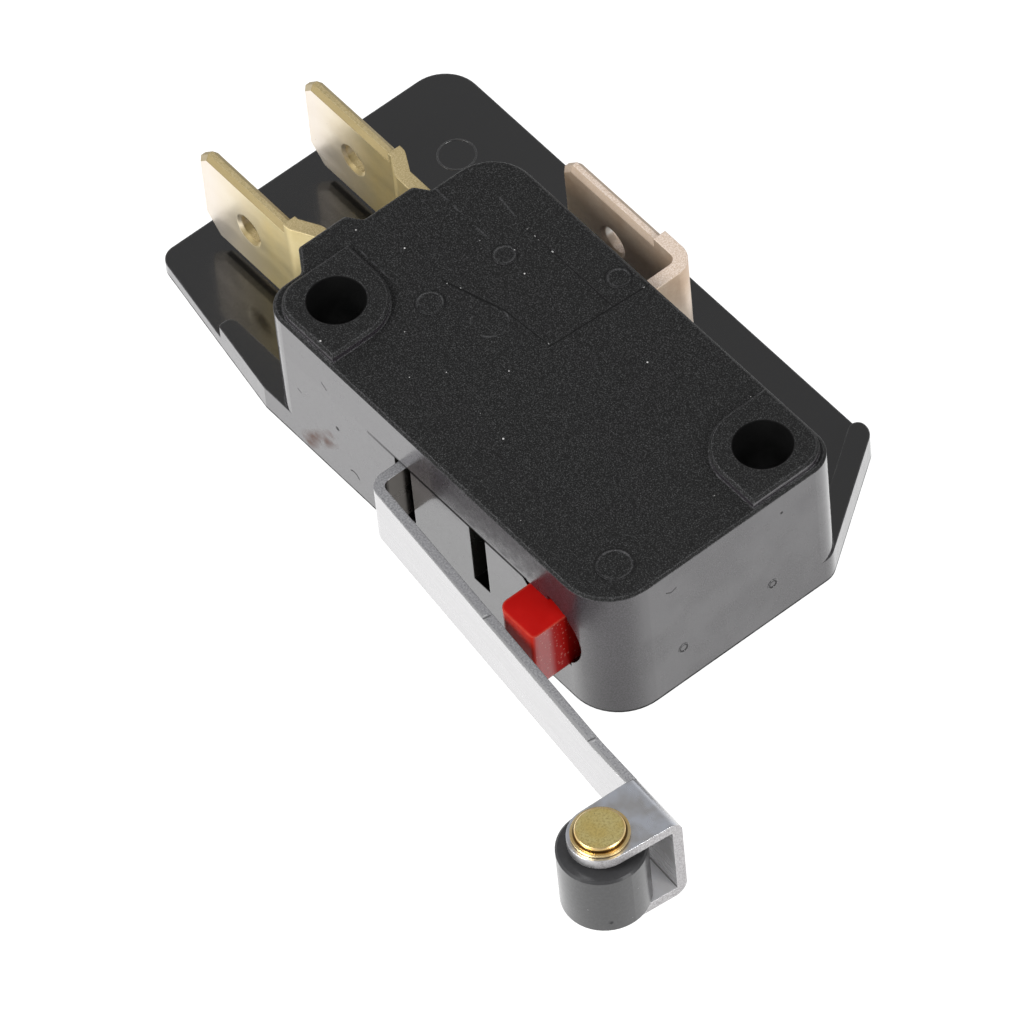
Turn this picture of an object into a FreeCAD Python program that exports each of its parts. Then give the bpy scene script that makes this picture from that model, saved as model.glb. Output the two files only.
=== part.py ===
import FreeCAD, Part
import math
import os

# A lever micro switch: a two-part moulded housing with a barrier plate, three
# push-on tabs, a red plunger and a hinged steel lever that carries a roller.
# Millimetres. The origin is the axis of the fixing hole at the terminal end, at
# the underside. +X runs to the plunger end, -Y faces the lever, +Z is the cover.

# Fixing holes
hole_pitch_x = 22.2
hole_pitch_y = 10.3
hole_diameter = 3.2
hole_edge = 2.8

# Housing outline
plunger_corner_radius = 3.0
far_corner_radius = 2.6
end_corner_radius = 1.7
first_corner_radius = 1.8
end_shift = 0.25

# Housing heights and walls
seam_height = 6.95
cover_thickness = 2.85
pad_height = 0.5
pad_reach = 2.8
pad_inset = 0.25
rim_cut = 0.15
foot_cut = 0.2
wall = 1.2
floor = 1.2
roof = 1.1
boss_wall = 0.95
cavity_radius = 1.2

# Working allowances: pieces of one solid run into each other, cuts run past the face
overlap = 0.2
past = 1.0

# Terminal end of the housing
port_block = 1.7
port_block_two = 0.85
port_margin_low = 1.59
port_margin_high = 0.75
port_two_margin = 0.3
port_step = 0.6
port_slope = 0.95
port_corner = 0.3
port_root_corner = 0.4

# Barrier plate and its ribs
barrier_reach_x = 12.2
barrier_reach_y = 5.9
barrier_thickness = 1.0
barrier_corner = 2.2
barrier_small_corner = 1.0
barrier_left_drop = 1.85
barrier_right_run = 4.9
barrier_right_drop = 1.0
barrier_root_corner = 1.3
rib_height = 0.9
rib_width = 1.25
rib_start = 4.9
rib_inner_shift = 0.1
rib_end_radius = 0.5
rib_corner = 0.2

# Tabs and terminal strips
tab_width = 6.3
strip_thickness = 0.8
strip_end_gap = 0.15
tab_length = 9.95
shoulder_setback = 2.55
shoulder_run = 0.35
joggle_run = 1.3
joggle = 0.7
tab_bevel = 0.25
tab_tip_cut = 0.7
tab_low_cut = 1.2
tab_hole_diameter = 1.65
tab_hole_from_tip = 4.05
dimple_depth = 0.18
bend_radius = 0.9
small_bend_radius = 0.45
strip_clearance = 0.06

# Where the strips stand
strip_boss_gap = 0.05
open_strip_from_wall = 4.8
open_drop_run = 1.4
common_strip_x = 8.75
common_tab_gap = 2.55
common_tab_length = 10.4
common_shoulder_from_bend = 2.7

# Contacts
contact_gap = 0.75
contact_touch_gap = 0.05
contact_head = 0.55
contact_head_radius = 1.2
contact_crown = 0.12
contact_shank_radius = 0.6
contact_back_radius = 0.75
contact_rivet_back = 0.25
contact_arm_length = 6.4
contact_arm_thickness = 0.4
contact_end_margin = 1.5

# Snap mechanism
arm_width = 4.0
window_width = 2.4
groove_depth = 0.3
knife_gap = 0.08
knife_length = 0.45
fork_reach = 1.5
fork_window_depth = 3.3
pivot_step = 0.46
swing_lever_thickness = 0.45
swing_lever_rest_angle = 8.73
swing_lever_tail = 0.9
spring_wire = 0.3
spring_radius = 0.8
spring_pitch = 0.9
spring_turns = 6
spring_wire_sides = 6
hook_bar = 0.45
hook_hole = 0.75
hook_from_contact = 0.43
far_hook_x = 13.6

# Plunger
plunger_from_end = 4.65
plunger_width = 2.9
plunger_depth = 4.0
plunger_top_gap = 0.05
plunger_out = 2.15
plunger_tip_radius = 0.6
plunger_clearance = 0.1
plunger_collar_width = 0.75
plunger_collar_length = 1.6
plunger_stem_width = 1.2
plunger_stem_height = 2.4
plunger_stem_gap = 0.06
plunger_scallop_radius = 2.4
plunger_scallop_depth = 0.7
plunger_corner_relief = 0.55

# Lever
lever_thickness = 0.6
lever_width = 3.8
lever_top_gap = 0.05
slot_width = 1.3
slot_one_x = 8.5
slot_two_x = 14.6
slot_floor_gap = 0.6
lever_stand_off = 2.2
lever_bend_radius = 0.75
lever_slope = 6.0
lever_end_slope = 3.4
lever_kink_x = 29.2
lever_kink_radius = 12.0
bracket_start_x = 32.4
bracket_length = 3.6
bracket_drop = 0.43
bracket_fold_radius = 0.75
bracket_inner_radius = 0.15
lever_foot_wing = 0.85
lever_foot_depth = 0.6
lever_foot_gap = 0.15

# Roller and its pin
roller_diameter = 4.75
roller_length = 4.2
roller_side_gap = 0.08
roller_top_gap = 0.42
roller_edge = 0.12
roller_offset_x = 1.7
roller_base_gap = 0.725
ear_radius = 1.75
pin_diameter = 1.8
pin_running_gap = 0.05
pin_flange_radius = 1.55
pin_flange_height = 0.2
pin_groove_height = 0.06
pin_head_radius = 1.32
pin_head_height = 0.22
pin_upset_radius = 1.3
pin_upset_foot_radius = 1.04
pin_upset_height = 0.3

# Locating pegs of the cover
peg_radius = 0.7
peg_length = 2.0
peg_clearance = 0.05
peg_boss_wall = 0.6
peg_one_from_corner = 6.6
peg_two_from_corner = 1.8
peg_wall_offset = 1.6

# Values that follow from the sizes above
case_x_min = -hole_edge
case_y_min = -hole_edge
case_x_max = hole_pitch_x + hole_edge
case_y_max = hole_pitch_y + hole_edge
cover_top = seam_height + cover_thickness
pad_top = cover_top + pad_height
hole_radius = hole_diameter / 2
boss_radius = hole_radius + boss_wall
roof_height = cover_top - roof
strip_mid_height = (floor + roof_height) / 2
arm_mid_height = strip_mid_height
strip_shoulder = (roof_height - floor - tab_width) / 2 - strip_end_gap
strip_width = tab_width + 2 * strip_shoulder
strip_low = strip_mid_height - strip_width / 2
strip_high = strip_mid_height + strip_width / 2
end_x = case_x_min - end_shift
port_x = case_x_min - port_block
port_two_x = case_x_min - port_block_two
barrier_x = case_x_min - barrier_reach_x
barrier_y = case_y_max + barrier_reach_y
tip_x = port_x - tab_length
closed_strip_y = boss_radius + strip_boss_gap
open_strip_y = case_y_max - open_strip_from_wall
closed_tab_y = closed_strip_y - joggle
open_tab_y = open_strip_y + joggle
common_back_x = common_strip_x + strip_thickness
contact_pivot_x = common_strip_x + groove_depth - knife_gap
swing_pivot_x = common_back_x - groove_depth + knife_gap
contact_x = contact_pivot_x - contact_arm_length
contact_swing = math.degrees(math.asin(contact_gap / contact_arm_length))
contact_rest_angle = contact_swing / 2
arm_low = arm_mid_height - arm_width / 2
contact_stack = contact_arm_thickness + 2 * contact_head
closed_face_y = closed_strip_y + strip_thickness + contact_head
moving_contact_y = closed_face_y + contact_touch_gap + contact_stack / 2
contact_arm_pivot_y = moving_contact_y + contact_gap / 2
open_face_y = moving_contact_y + contact_stack / 2 + contact_gap + contact_touch_gap
open_carrier_y = open_face_y + contact_head
closed_hook_x = contact_x + contact_head_radius + hook_from_contact
swing_lever_pivot_y = contact_arm_pivot_y + pivot_step
fork_top_y = contact_arm_pivot_y - fork_reach
swing_angle = math.radians(swing_lever_rest_angle)
foot_x = slot_one_x - lever_thickness / 2
lever_low = seam_height - lever_top_gap - lever_width
slot_low = lever_low - slot_floor_gap
bracket_height = roller_length + roller_side_gap + roller_top_gap + 2 * lever_thickness
bracket_low = lever_low + lever_width / 2 - bracket_drop - bracket_height / 2
roller_low = bracket_low + lever_thickness + roller_side_gap
roller_offset_y = roller_diameter / 2 + roller_base_gap
plunger_x = case_x_max - plunger_from_end
plunger_high = seam_height - plunger_top_gap
plunger_low = plunger_high - plunger_depth
slope = math.radians(lever_slope)
end_slope = math.radians(lever_end_slope)
up = FreeCAD.Vector(0, 0, 1)


def vec(x, y, z=0.0):
    return FreeCAD.Vector(x, y, z)


def outline(corners):
    """Flat face from corners (x, y, radius): straight edges joined by tangent arcs."""
    count = len(corners)
    points = [vec(c[0], c[1]) for c in corners]
    entries = []
    for i, corner in enumerate(corners):
        here = points[i]
        back = (points[i - 1] - here).normalize()
        ahead = (points[(i + 1) % count] - here).normalize()
        radius = corner[2]
        if radius == 0:
            entries.append((here, None, here))
            continue
        half = back.getAngle(ahead) / 2
        reach = radius / math.tan(half)
        middle = (back + ahead).normalize()
        bulge = here + middle * (radius / math.sin(half) - radius)
        entries.append((here + back * reach, bulge, here + ahead * reach))
    edges = []
    for i, (start, bulge, end) in enumerate(entries):
        if bulge is not None:
            edges.append(Part.Arc(start, bulge, end).toShape())
        after = entries[(i + 1) % count][0]
        if (after - end).Length > 1e-6:
            edges.append(Part.LineSegment(end, after).toShape())
    return Part.Face(Part.Wire(edges))


def prism(corners, low, high):
    """Upright block with the given outline between two heights."""
    face = outline(corners)
    face.translate(vec(0, 0, low))
    return face.extrude(vec(0, 0, high - low))


def box(x0, x1, y0, y1, z0, z1):
    return Part.makeBox(x1 - x0, y1 - y0, z1 - z0, vec(x0, y0, z0))


def round_bar(x, y, low, high, radius):
    return Part.makeCylinder(radius, high - low, vec(x, y, low), up)


def cross_bar(x, y0, y1, z, radius):
    return Part.makeCylinder(radius, y1 - y0, vec(x, y0, z), vec(0, 1, 0))


def bent_strip(route, thickness, low, high):
    """Strip of even thickness whose centre line follows (x, y, bend radius) points."""
    points = [vec(p[0], p[1]) for p in route]
    half = thickness / 2
    left = []
    right = []
    for i, here in enumerate(points):
        before = (here - points[i - 1]).normalize() if i > 0 else None
        after = (points[i + 1] - here).normalize() if i < len(points) - 1 else None
        before = before or after
        after = after or before
        normal = vec(-before.y - after.y, before.x + after.x).normalize()
        turn = before.cross(after).z
        reach = half / normal.dot(vec(-before.y, before.x))
        radius = route[i][2]
        side = half if turn > 0 else -half
        left.append((here + normal * reach, max(radius - side, 0) if radius else 0))
        right.append((here - normal * reach, max(radius + side, 0) if radius else 0))
    loop = left + right[::-1]
    return prism([(p.x, p.y, r) for p, r in loop], low, high)


def turned(shape, x, y, degrees):
    shape.rotate(vec(x, y), up, degrees)
    return shape


def body_corners():
    """Outline of the housing walls, with the stepped ports at the terminal end."""
    first_low = closed_strip_y - port_margin_low
    first_high = closed_strip_y + strip_thickness + port_margin_high
    second_high = open_strip_y - port_two_margin
    return [
        (end_x, case_y_min, first_corner_radius),
        (case_x_max, case_y_min, plunger_corner_radius),
        (case_x_max, case_y_max, end_corner_radius),
        (case_x_min, case_y_max, far_corner_radius),
        (case_x_min, second_high + port_step, port_corner),
        (port_two_x, second_high, port_corner),
        (port_two_x, first_high + port_step, port_corner),
        (port_x, first_high, port_corner),
        (port_x, first_low, port_corner),
        (end_x, first_low - port_slope, port_root_corner),
    ]


def cavity(low, high):
    """Inner space between the walls, with the fixing-hole bosses left standing."""
    x0 = case_x_min + wall
    x1 = case_x_max - wall
    y0 = case_y_min + wall
    y1 = case_y_max - wall
    r = cavity_radius
    space = prism([(x0, y0, r), (x1, y0, r), (x1, y1, r), (x0, y1, r)], low, high)
    for x, y in fixing_holes():
        space = space.cut(round_bar(x, y, low, high, boss_radius))
    for x, y in peg_places():
        space = space.cut(round_bar(x, y, low, high, peg_radius + peg_clearance + peg_boss_wall))
    return space


def fixing_holes():
    return [(0.0, 0.0), (hole_pitch_x, hole_pitch_y)]


def peg_places():
    return [
        (case_x_max - peg_wall_offset, case_y_min + peg_one_from_corner),
        (case_x_min + peg_two_from_corner, case_y_max - peg_wall_offset),
    ]


def terminal_ports(low, high):
    """Slots in the walls that the three terminal strips pass through."""
    gap = strip_clearance
    inside = case_x_min + wall + gap
    ports = []
    for y in (closed_strip_y, open_strip_y):
        ports.append(box(port_x - past, inside, y - gap, y + strip_thickness + gap, low, high))
    x0 = common_strip_x - gap
    x1 = common_back_x + gap
    ports.append(box(x0, x1, case_y_max - wall - gap, case_y_max + past, low, high))
    return ports


def barrier_plate():
    """Flat insulating plate that reaches out past the three tabs."""
    left_join = end_x - port_step
    right_join = case_y_max - barrier_right_drop
    right_far = case_x_max - barrier_right_run
    corner_y = case_y_min + barrier_left_drop
    middle_x = (case_x_min + case_x_max) / 2
    middle_y = (case_y_min + case_y_max) / 2
    return prism([
        (barrier_x, corner_y, barrier_small_corner),
        (left_join, case_y_min, 0),
        (middle_x, case_y_min, 0),
        (middle_x, middle_y, 0),
        (case_x_max, middle_y, 0),
        (case_x_max, right_join, barrier_root_corner),
        (right_far, barrier_y, barrier_small_corner),
        (barrier_x, barrier_y, barrier_corner),
    ], 0, barrier_thickness)


def barrier_ribs():
    """Raised ribs along the two slanted edges of the plate."""
    low = barrier_thickness - overlap
    high = barrier_thickness + rib_height
    left_join = end_x - port_step
    corner_y = case_y_min + barrier_left_drop
    fall = (case_y_min - corner_y) / (left_join - barrier_x)
    start_x = left_join - rib_start
    outer_y = corner_y + fall * (start_x - barrier_x)
    inner_y = corner_y - rib_inner_shift
    left = prism([
        (start_x, outer_y, rib_corner),
        (left_join, case_y_min, 0),
        (0, case_y_min, 0),
        (0, inner_y, 0),
        (start_x, inner_y, rib_end_radius),
    ], low, high)
    join_y = case_y_max - barrier_right_drop
    far_x = case_x_max - barrier_right_run
    run = vec(far_x - case_x_max, barrier_y - join_y).normalize()
    inward = vec(-run.y, run.x) * rib_width
    near = vec(case_x_max, join_y) + inward
    reach = (barrier_y - near.y) / run.y
    far = near + run * reach
    right = prism([
        (case_x_max, case_y_max - end_corner_radius, 0),
        (case_x_max, join_y, barrier_root_corner),
        (far_x, barrier_y, barrier_small_corner),
        (far.x, far.y, rib_end_radius),
        (near.x, near.y, 0),
    ], low, high)
    return left, right


def plunger_opening():
    """Guide hole for the plunger, with one bevelled corner and a scallop beside it."""
    gap = plunger_clearance
    x0 = plunger_x - plunger_width / 2 - gap
    x1 = plunger_x + plunger_width / 2 + gap
    outside = case_y_min - past
    hole = box(x0, x1, outside, case_y_min + wall + past, plunger_low - gap, seam_height + past)
    relief = plunger_corner_relief
    bevel = Part.Face(Part.makePolygon([
        vec(x0, outside, seam_height - relief),
        vec(x0 - relief - past, outside, seam_height + past),
        vec(x0 + overlap, outside, seam_height + past),
        vec(x0 + overlap, outside, seam_height - relief),
        vec(x0, outside, seam_height - relief)]))
    bevel = bevel.extrude(vec(0, past + plunger_scallop_depth, 0))
    return hole.fuse([plunger_scallop(), bevel])


def plunger_scallop():
    """Shallow round hollow in the wall on the outer side of the plunger."""
    z = (plunger_low + plunger_high) / 2
    bulge = cross_bar(plunger_x, case_y_min - past, case_y_min + plunger_scallop_depth,
                      z, plunger_scallop_radius)
    keep = box(plunger_x, case_x_max, case_y_min - past, case_y_min + wall, 0, cover_top)
    return bulge.common(keep)


def lever_slots():
    """Two upright slots in the wall: one holds the lever, the other takes it turned round."""
    half = slot_width / 2
    y0 = case_y_min - past
    y1 = case_y_min + wall + past
    high = seam_height + past
    return [box(x - half, x + half, y0, y1, slot_low, high) for x in (slot_one_x, slot_two_x)]


def make_case():
    """Lower housing: walls, floor, barrier plate, ribs, bosses and wall openings."""
    shell = prism(body_corners(), 0, seam_height)
    shell = shell.fuse(barrier_plate()).removeSplitter()
    under = [e for e in shell.Edges if e.BoundBox.ZMax < 1e-6]
    shell = shell.makeChamfer(foot_cut, under)
    for rib in barrier_ribs():
        shell = shell.fuse(rib)
    shell = shell.cut(cavity(floor, seam_height + past))
    for port in terminal_ports(strip_low, seam_height + past):
        shell = shell.cut(port)
    for slot in lever_slots():
        shell = shell.cut(slot)
    shell = shell.cut(plunger_opening())
    for x, y in fixing_holes():
        shell = shell.cut(round_bar(x, y, -past, seam_height + past, hole_radius))
    for x, y in peg_places():
        low = seam_height - peg_length - peg_clearance
        shell = shell.cut(round_bar(x, y, low, seam_height + past, peg_radius + peg_clearance))
    return shell.removeSplitter()


def pad(x, y, side):
    """Raised square pad round a fixing hole; side is -1 at the first corner."""
    outward = hole_edge - pad_inset
    low = -outward if side < 0 else -pad_reach
    high = pad_reach if side < 0 else outward
    first = first_corner_radius if side < 0 else pad_reach
    last = pad_reach if side < 0 else end_corner_radius
    block = prism([(x + low, y + low, first), (x + high, y + low, 0),
                   (x + high, y + high, last), (x + low, y + high, 0)],
                  cover_top - overlap, pad_top)
    rim = [e for e in block.Edges if e.BoundBox.ZMin > pad_top - 1e-6]
    return block.makeChamfer(rim_cut, rim)


def make_cover():
    """Upper housing: flat roof with skirt, hole pads and two locating pegs."""
    shell = prism(body_corners(), seam_height, cover_top)
    rim = [e for e in shell.Edges if e.BoundBox.ZMin > cover_top - 1e-6]
    shell = shell.makeChamfer(rim_cut, rim)
    for (x, y), side in zip(fixing_holes(), (-1, 1)):
        shell = shell.fuse(pad(x, y, side))
    shell = shell.cut(cavity(seam_height - past, roof_height))
    for port in terminal_ports(seam_height - past, strip_high):
        shell = shell.cut(port)
    shell = shell.cut(plunger_scallop())
    for x, y in fixing_holes():
        shell = shell.cut(round_bar(x, y, 0, pad_top + past, hole_radius))
    for x, y in peg_places():
        shell = shell.fuse(round_bar(x, y, seam_height - peg_length, roof_height, peg_radius))
    return shell.removeSplitter()


def tab_blade(length):
    """Push-on tab lying along -X from the origin: bevelled edges, cut corners, dimpled hole."""
    half = tab_width / 2
    low_cut = tab_low_cut
    cut = tab_tip_cut
    face = Part.Face(Part.makePolygon([
        vec(0, 0, -half), vec(-length + low_cut, 0, -half), vec(-length, 0, -half + low_cut),
        vec(-length, 0, half - cut), vec(-length + cut, 0, half), vec(0, 0, half), vec(0, 0, -half)]))
    blade = face.extrude(vec(0, strip_thickness, 0))
    rim = [e for e in blade.Edges if e.BoundBox.YLength < 1e-6 and e.BoundBox.XMin < -1e-6]
    blade = blade.makeChamfer(tab_bevel, rim)
    x = -length + tab_hole_from_tip
    r = tab_hole_diameter / 2
    blade = blade.cut(cross_bar(x, -past, strip_thickness + past, 0, r))
    for y, way in ((0, 1), (strip_thickness, -1)):
        dimple = Part.makeCone(r + dimple_depth, r, dimple_depth, vec(x, y, 0), vec(0, way, 0))
        blade = blade.cut(dimple)
    return blade


def rivet_hole(x, y0, y1):
    return cross_bar(x, y0, y1, arm_mid_height, contact_shank_radius)


def make_closed_terminal():
    """Terminal nearest the plunger side; its strip carries the contact closed at rest."""
    half = strip_thickness / 2
    shoulder_x = port_x - shoulder_setback
    route = [
        (shoulder_x, closed_tab_y + half, 0),
        (shoulder_x + shoulder_run, closed_tab_y + half, small_bend_radius),
        (shoulder_x + shoulder_run + joggle_run, closed_strip_y + half, small_bend_radius),
        (contact_x + contact_end_margin, closed_strip_y + half, 0),
    ]
    strip = bent_strip(route, strip_thickness, strip_low, strip_high)
    blade = tab_blade(shoulder_x - tip_x)
    blade.translate(vec(shoulder_x, closed_tab_y, strip_mid_height))
    strip = strip.fuse(blade)
    strip = strip.cut(rivet_hole(contact_x, closed_strip_y - past, closed_face_y))
    return strip.removeSplitter()


def make_open_terminal():
    """Second end terminal; its strip steps towards the contact that closes when pressed."""
    half = strip_thickness / 2
    shoulder_x = port_x - shoulder_setback
    inside = case_x_min + wall + bend_radius
    route = [
        (shoulder_x, open_tab_y + half, 0),
        (shoulder_x + shoulder_run, open_tab_y + half, small_bend_radius),
        (shoulder_x + shoulder_run + joggle_run, open_strip_y + half, small_bend_radius),
        (inside, open_strip_y + half, small_bend_radius),
        (inside + open_drop_run, open_carrier_y + half, small_bend_radius),
        (contact_x + contact_end_margin, open_carrier_y + half, 0),
    ]
    strip = bent_strip(route, strip_thickness, strip_low, strip_high)
    blade = tab_blade(shoulder_x - tip_x)
    blade.translate(vec(shoulder_x, open_tab_y, strip_mid_height))
    strip = strip.fuse(blade)
    strip = strip.cut(rivet_hole(contact_x, open_face_y, open_carrier_y + strip_thickness + past))
    return strip.removeSplitter()


def groove(x, y, way):
    """Notch along Z in a face at x that opens towards way along X."""
    reach = groove_depth * 2
    tip = vec(x - way * groove_depth, y)
    side_a = vec(x - way * groove_depth + way * reach, y - reach)
    side_b = vec(x - way * groove_depth + way * reach, y + reach)
    face = Part.Face(Part.makePolygon([tip, side_a, side_b, tip]))
    face.translate(vec(0, 0, strip_low - past))
    return face.extrude(vec(0, 0, strip_width + 2 * past))


def make_common_terminal():
    """Folded strip: tab, bend, leg through the wall and a forked post with two notches."""
    half = strip_thickness / 2
    tab_front = case_y_max + common_tab_gap
    leg_x = common_strip_x + half
    tip = common_back_x - common_tab_length
    shoulder_x = common_back_x - common_shoulder_from_bend
    route = [
        (shoulder_x, tab_front + half, 0),
        (leg_x, tab_front + half, bend_radius),
        (leg_x, fork_top_y, 0),
    ]
    strip = bent_strip(route, strip_thickness, strip_low, strip_high)
    blade = tab_blade(shoulder_x - tip)
    blade.translate(vec(shoulder_x, tab_front, strip_mid_height))
    strip = strip.fuse(blade)
    half_window = window_width / 2
    window = box(common_strip_x - past, common_back_x + past,
                 fork_top_y - past, fork_top_y + fork_window_depth,
                 arm_mid_height - half_window, arm_mid_height + half_window)
    strip = strip.cut(window)
    strip = strip.cut(groove(common_strip_x, contact_arm_pivot_y, -1))
    strip = strip.cut(groove(common_back_x, swing_lever_pivot_y, 1))
    return strip.removeSplitter()


def contact_rivet(face_y, way):
    """Contact rivet at the contact line; its domed face looks along way in Y."""
    r = contact_head_radius
    crown = r * r / (2 * contact_crown)
    head = cross_bar(contact_x, 0, contact_head, arm_mid_height, r)
    dome = Part.makeSphere(crown, vec(contact_x, crown, arm_mid_height))
    head = head.common(dome)
    shank_end = contact_head + strip_thickness
    shank = cross_bar(contact_x, contact_head, shank_end, arm_mid_height, contact_shank_radius)
    back = cross_bar(contact_x, shank_end, shank_end + contact_rivet_back, arm_mid_height,
                     contact_back_radius)
    rivet = head.fuse([shank, back]).removeSplitter()
    if way > 0:
        rivet.rotate(vec(contact_x, 0, arm_mid_height), up, 180)
    rivet.translate(vec(0, face_y, 0))
    return rivet


def knife_arm(pivot_x, pivot_y, length, thickness, way):
    """Flat arm from a sharp edge at the pivot, running along way in X."""
    half = thickness / 2
    tip = vec(pivot_x, pivot_y)
    root_x = pivot_x + way * knife_length
    far_x = pivot_x + way * length
    face = Part.Face(Part.makePolygon([
        tip, vec(root_x, pivot_y - half), vec(far_x, pivot_y - half),
        vec(far_x, pivot_y + half), vec(root_x, pivot_y + half), tip]))
    face.translate(vec(0, 0, arm_low))
    return face.extrude(vec(0, 0, arm_width))


def arm_window(x0, x1, y):
    """Opening between the two legs of an arm, in which the spring lies."""
    half = window_width / 2
    return box(x0, x1, y - past, y + past, arm_mid_height - half, arm_mid_height + half)


def hook_opening(x0, y):
    """Square hole beside the bar that the spring's hook goes round."""
    half = hook_hole / 2
    return box(x0, x0 + hook_hole, y - past, y + past, arm_mid_height - half, arm_mid_height + half)


def make_contact_arm():
    """Moving contact arm, pressed by the spring against the closed contact at rest."""
    y = contact_arm_pivot_y
    arm = knife_arm(contact_pivot_x, y, contact_arm_length + contact_head_radius,
                    contact_arm_thickness, -1)
    bar_x = closed_hook_x + spring_radius
    arm = arm.cut(arm_window(bar_x, contact_pivot_x + past, y))
    arm = arm.cut(hook_opening(bar_x - hook_bar - hook_hole, y))
    arm = arm.cut(rivet_hole(contact_x, y - past, y + past))
    return turned(arm.removeSplitter(), contact_pivot_x, y, contact_rest_angle)


def make_moving_contact():
    """Double-headed contact riveted through the end of the contact arm."""
    y = contact_arm_pivot_y
    half = contact_arm_thickness / 2
    pin = cross_bar(contact_x, y - half, y + half, arm_mid_height, contact_shank_radius)
    for way in (-1, 1):
        start = y + way * half
        low = min(start, start + way * contact_head)
        pin = pin.fuse(cross_bar(contact_x, low, low + contact_head, arm_mid_height,
                                 contact_head_radius))
    return turned(pin.removeSplitter(), contact_pivot_x, y, contact_rest_angle)


def swing_lever_y(x):
    """Height in Y of the swing lever's centre line at rest."""
    return swing_lever_pivot_y - (x - swing_pivot_x) * math.tan(swing_angle)


def make_swing_lever():
    """Lever inside that the plunger pushes; it carries the far end of the spring."""
    y = swing_lever_pivot_y
    reach = plunger_x - swing_pivot_x + swing_lever_tail
    length = reach / math.cos(swing_angle)
    arm = knife_arm(swing_pivot_x, y, length, swing_lever_thickness, 1)
    bar_x = far_hook_x - spring_radius
    along = (bar_x - swing_pivot_x) / math.cos(swing_angle) + swing_pivot_x
    arm = arm.cut(arm_window(swing_pivot_x - past, along, y))
    arm = arm.cut(hook_opening(along + hook_bar, y))
    return turned(arm.removeSplitter(), swing_pivot_x, y, -swing_lever_rest_angle)


def wire_section(centre, across):
    """Outline of the spring wire about a point; across is the normal of its plane."""
    radius = spring_wire / 2
    turns = [2 * math.pi * i / spring_wire_sides for i in range(spring_wire_sides + 1)]
    ring = Part.makePolygon([vec(math.cos(a), 0, math.sin(a)) * radius for a in turns])
    ring.Placement = FreeCAD.Placement(centre, FreeCAD.Rotation(vec(0, 1, 0), across))
    return ring


def spring_hook(hook_x, coil_x, y, z):
    """Straight leg from the coil's edge and a half ring that closes at hook_x."""
    way = 1 if hook_x > coil_x else -1
    turn_x = hook_x - way * spring_radius
    start = coil_x - way * spring_wire / 2
    leg = Part.Face(Part.Wire(wire_section(vec(start, y - spring_radius, z), vec(1, 0, 0))))
    leg = leg.extrude(vec(turn_x - start, 0, 0))
    bend = Part.Face(Part.Wire(wire_section(vec(turn_x, y - spring_radius, z), vec(1, 0, 0))))
    bend = bend.revolve(vec(turn_x, y, z), up, way * 180)
    return leg.fuse(bend)


def make_snap_spring():
    """Tension coil between the contact arm and the swing lever, with a hook at each end."""
    y0 = contact_arm_pivot_y - (contact_pivot_x - closed_hook_x) * math.tan(
        math.radians(contact_rest_angle))
    y1 = swing_lever_y(far_hook_x)
    y = (y0 + y1) / 2
    z = arm_mid_height
    height = spring_pitch * spring_turns
    start_x = (closed_hook_x + far_hook_x - height) / 2
    helix = Part.makeHelix(spring_pitch, height, spring_radius)
    ring = Part.Wire(wire_section(vec(spring_radius, 0), vec(0, 1, 0)))
    coil = Part.Wire(helix.Edges).makePipeShell([ring], True, True)
    coil.rotate(vec(0, 0), vec(0, 1, 0), 90)
    coil.rotate(vec(0, 0), vec(1, 0, 0), -90)
    coil.translate(vec(start_x, y, z))
    hooks = [spring_hook(closed_hook_x, start_x, y, z),
             spring_hook(far_hook_x, start_x + height, y, z)]
    return coil.fuse(hooks)


def make_plunger():
    """Push button: guided block, retaining collar behind the wall and a stem."""
    half = plunger_width / 2
    tip_y = case_y_min - plunger_out
    collar_y = case_y_min + wall + plunger_stem_gap
    head = prism([
        (plunger_x - half, tip_y, plunger_tip_radius),
        (plunger_x + half, tip_y, plunger_tip_radius / 2),
        (plunger_x + half, collar_y + overlap, 0),
        (plunger_x - half, collar_y + overlap, 0),
    ], plunger_low, plunger_high)
    wide = half + plunger_collar_width
    collar = box(plunger_x - wide, plunger_x + wide, collar_y, collar_y + plunger_collar_length,
                 plunger_low, plunger_high)
    stem_half = plunger_stem_width / 2
    lever_top = swing_lever_y(plunger_x) - swing_lever_thickness / 2 / math.cos(swing_angle)
    round_y = lever_top - (stem_half + plunger_stem_gap) / math.cos(swing_angle)
    stem_y = collar_y + plunger_collar_length - overlap
    stem_low = arm_mid_height - plunger_stem_height / 2
    stem = prism([
        (plunger_x - stem_half, stem_y, 0),
        (plunger_x + stem_half, stem_y, 0),
        (plunger_x + stem_half, round_y + stem_half, stem_half),
        (plunger_x - stem_half, round_y + stem_half, stem_half),
    ], stem_low, stem_low + plunger_stem_height)
    return head.fuse([collar, stem]).removeSplitter()


def lever_line(x):
    """Outer face of the lever strip in Y at a place along X."""
    start_x = slot_one_x + lever_thickness
    start_y = case_y_min - lever_stand_off
    if x <= lever_kink_x:
        return start_y - (x - start_x) * math.tan(slope)
    kink_y = start_y - (lever_kink_x - start_x) * math.tan(slope)
    return kink_y - (x - lever_kink_x) * math.tan(end_slope)


def bracket_place(x, y):
    """Place of a point given in the bracket's own frame: along the strip and outwards."""
    start = vec(bracket_start_x, lever_line(bracket_start_x))
    along = vec(math.cos(end_slope), -math.sin(end_slope))
    out = vec(-math.sin(end_slope), -math.cos(end_slope))
    return start + along * x + out * y


def roller_place():
    return bracket_place(roller_offset_x, roller_offset_y)


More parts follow.
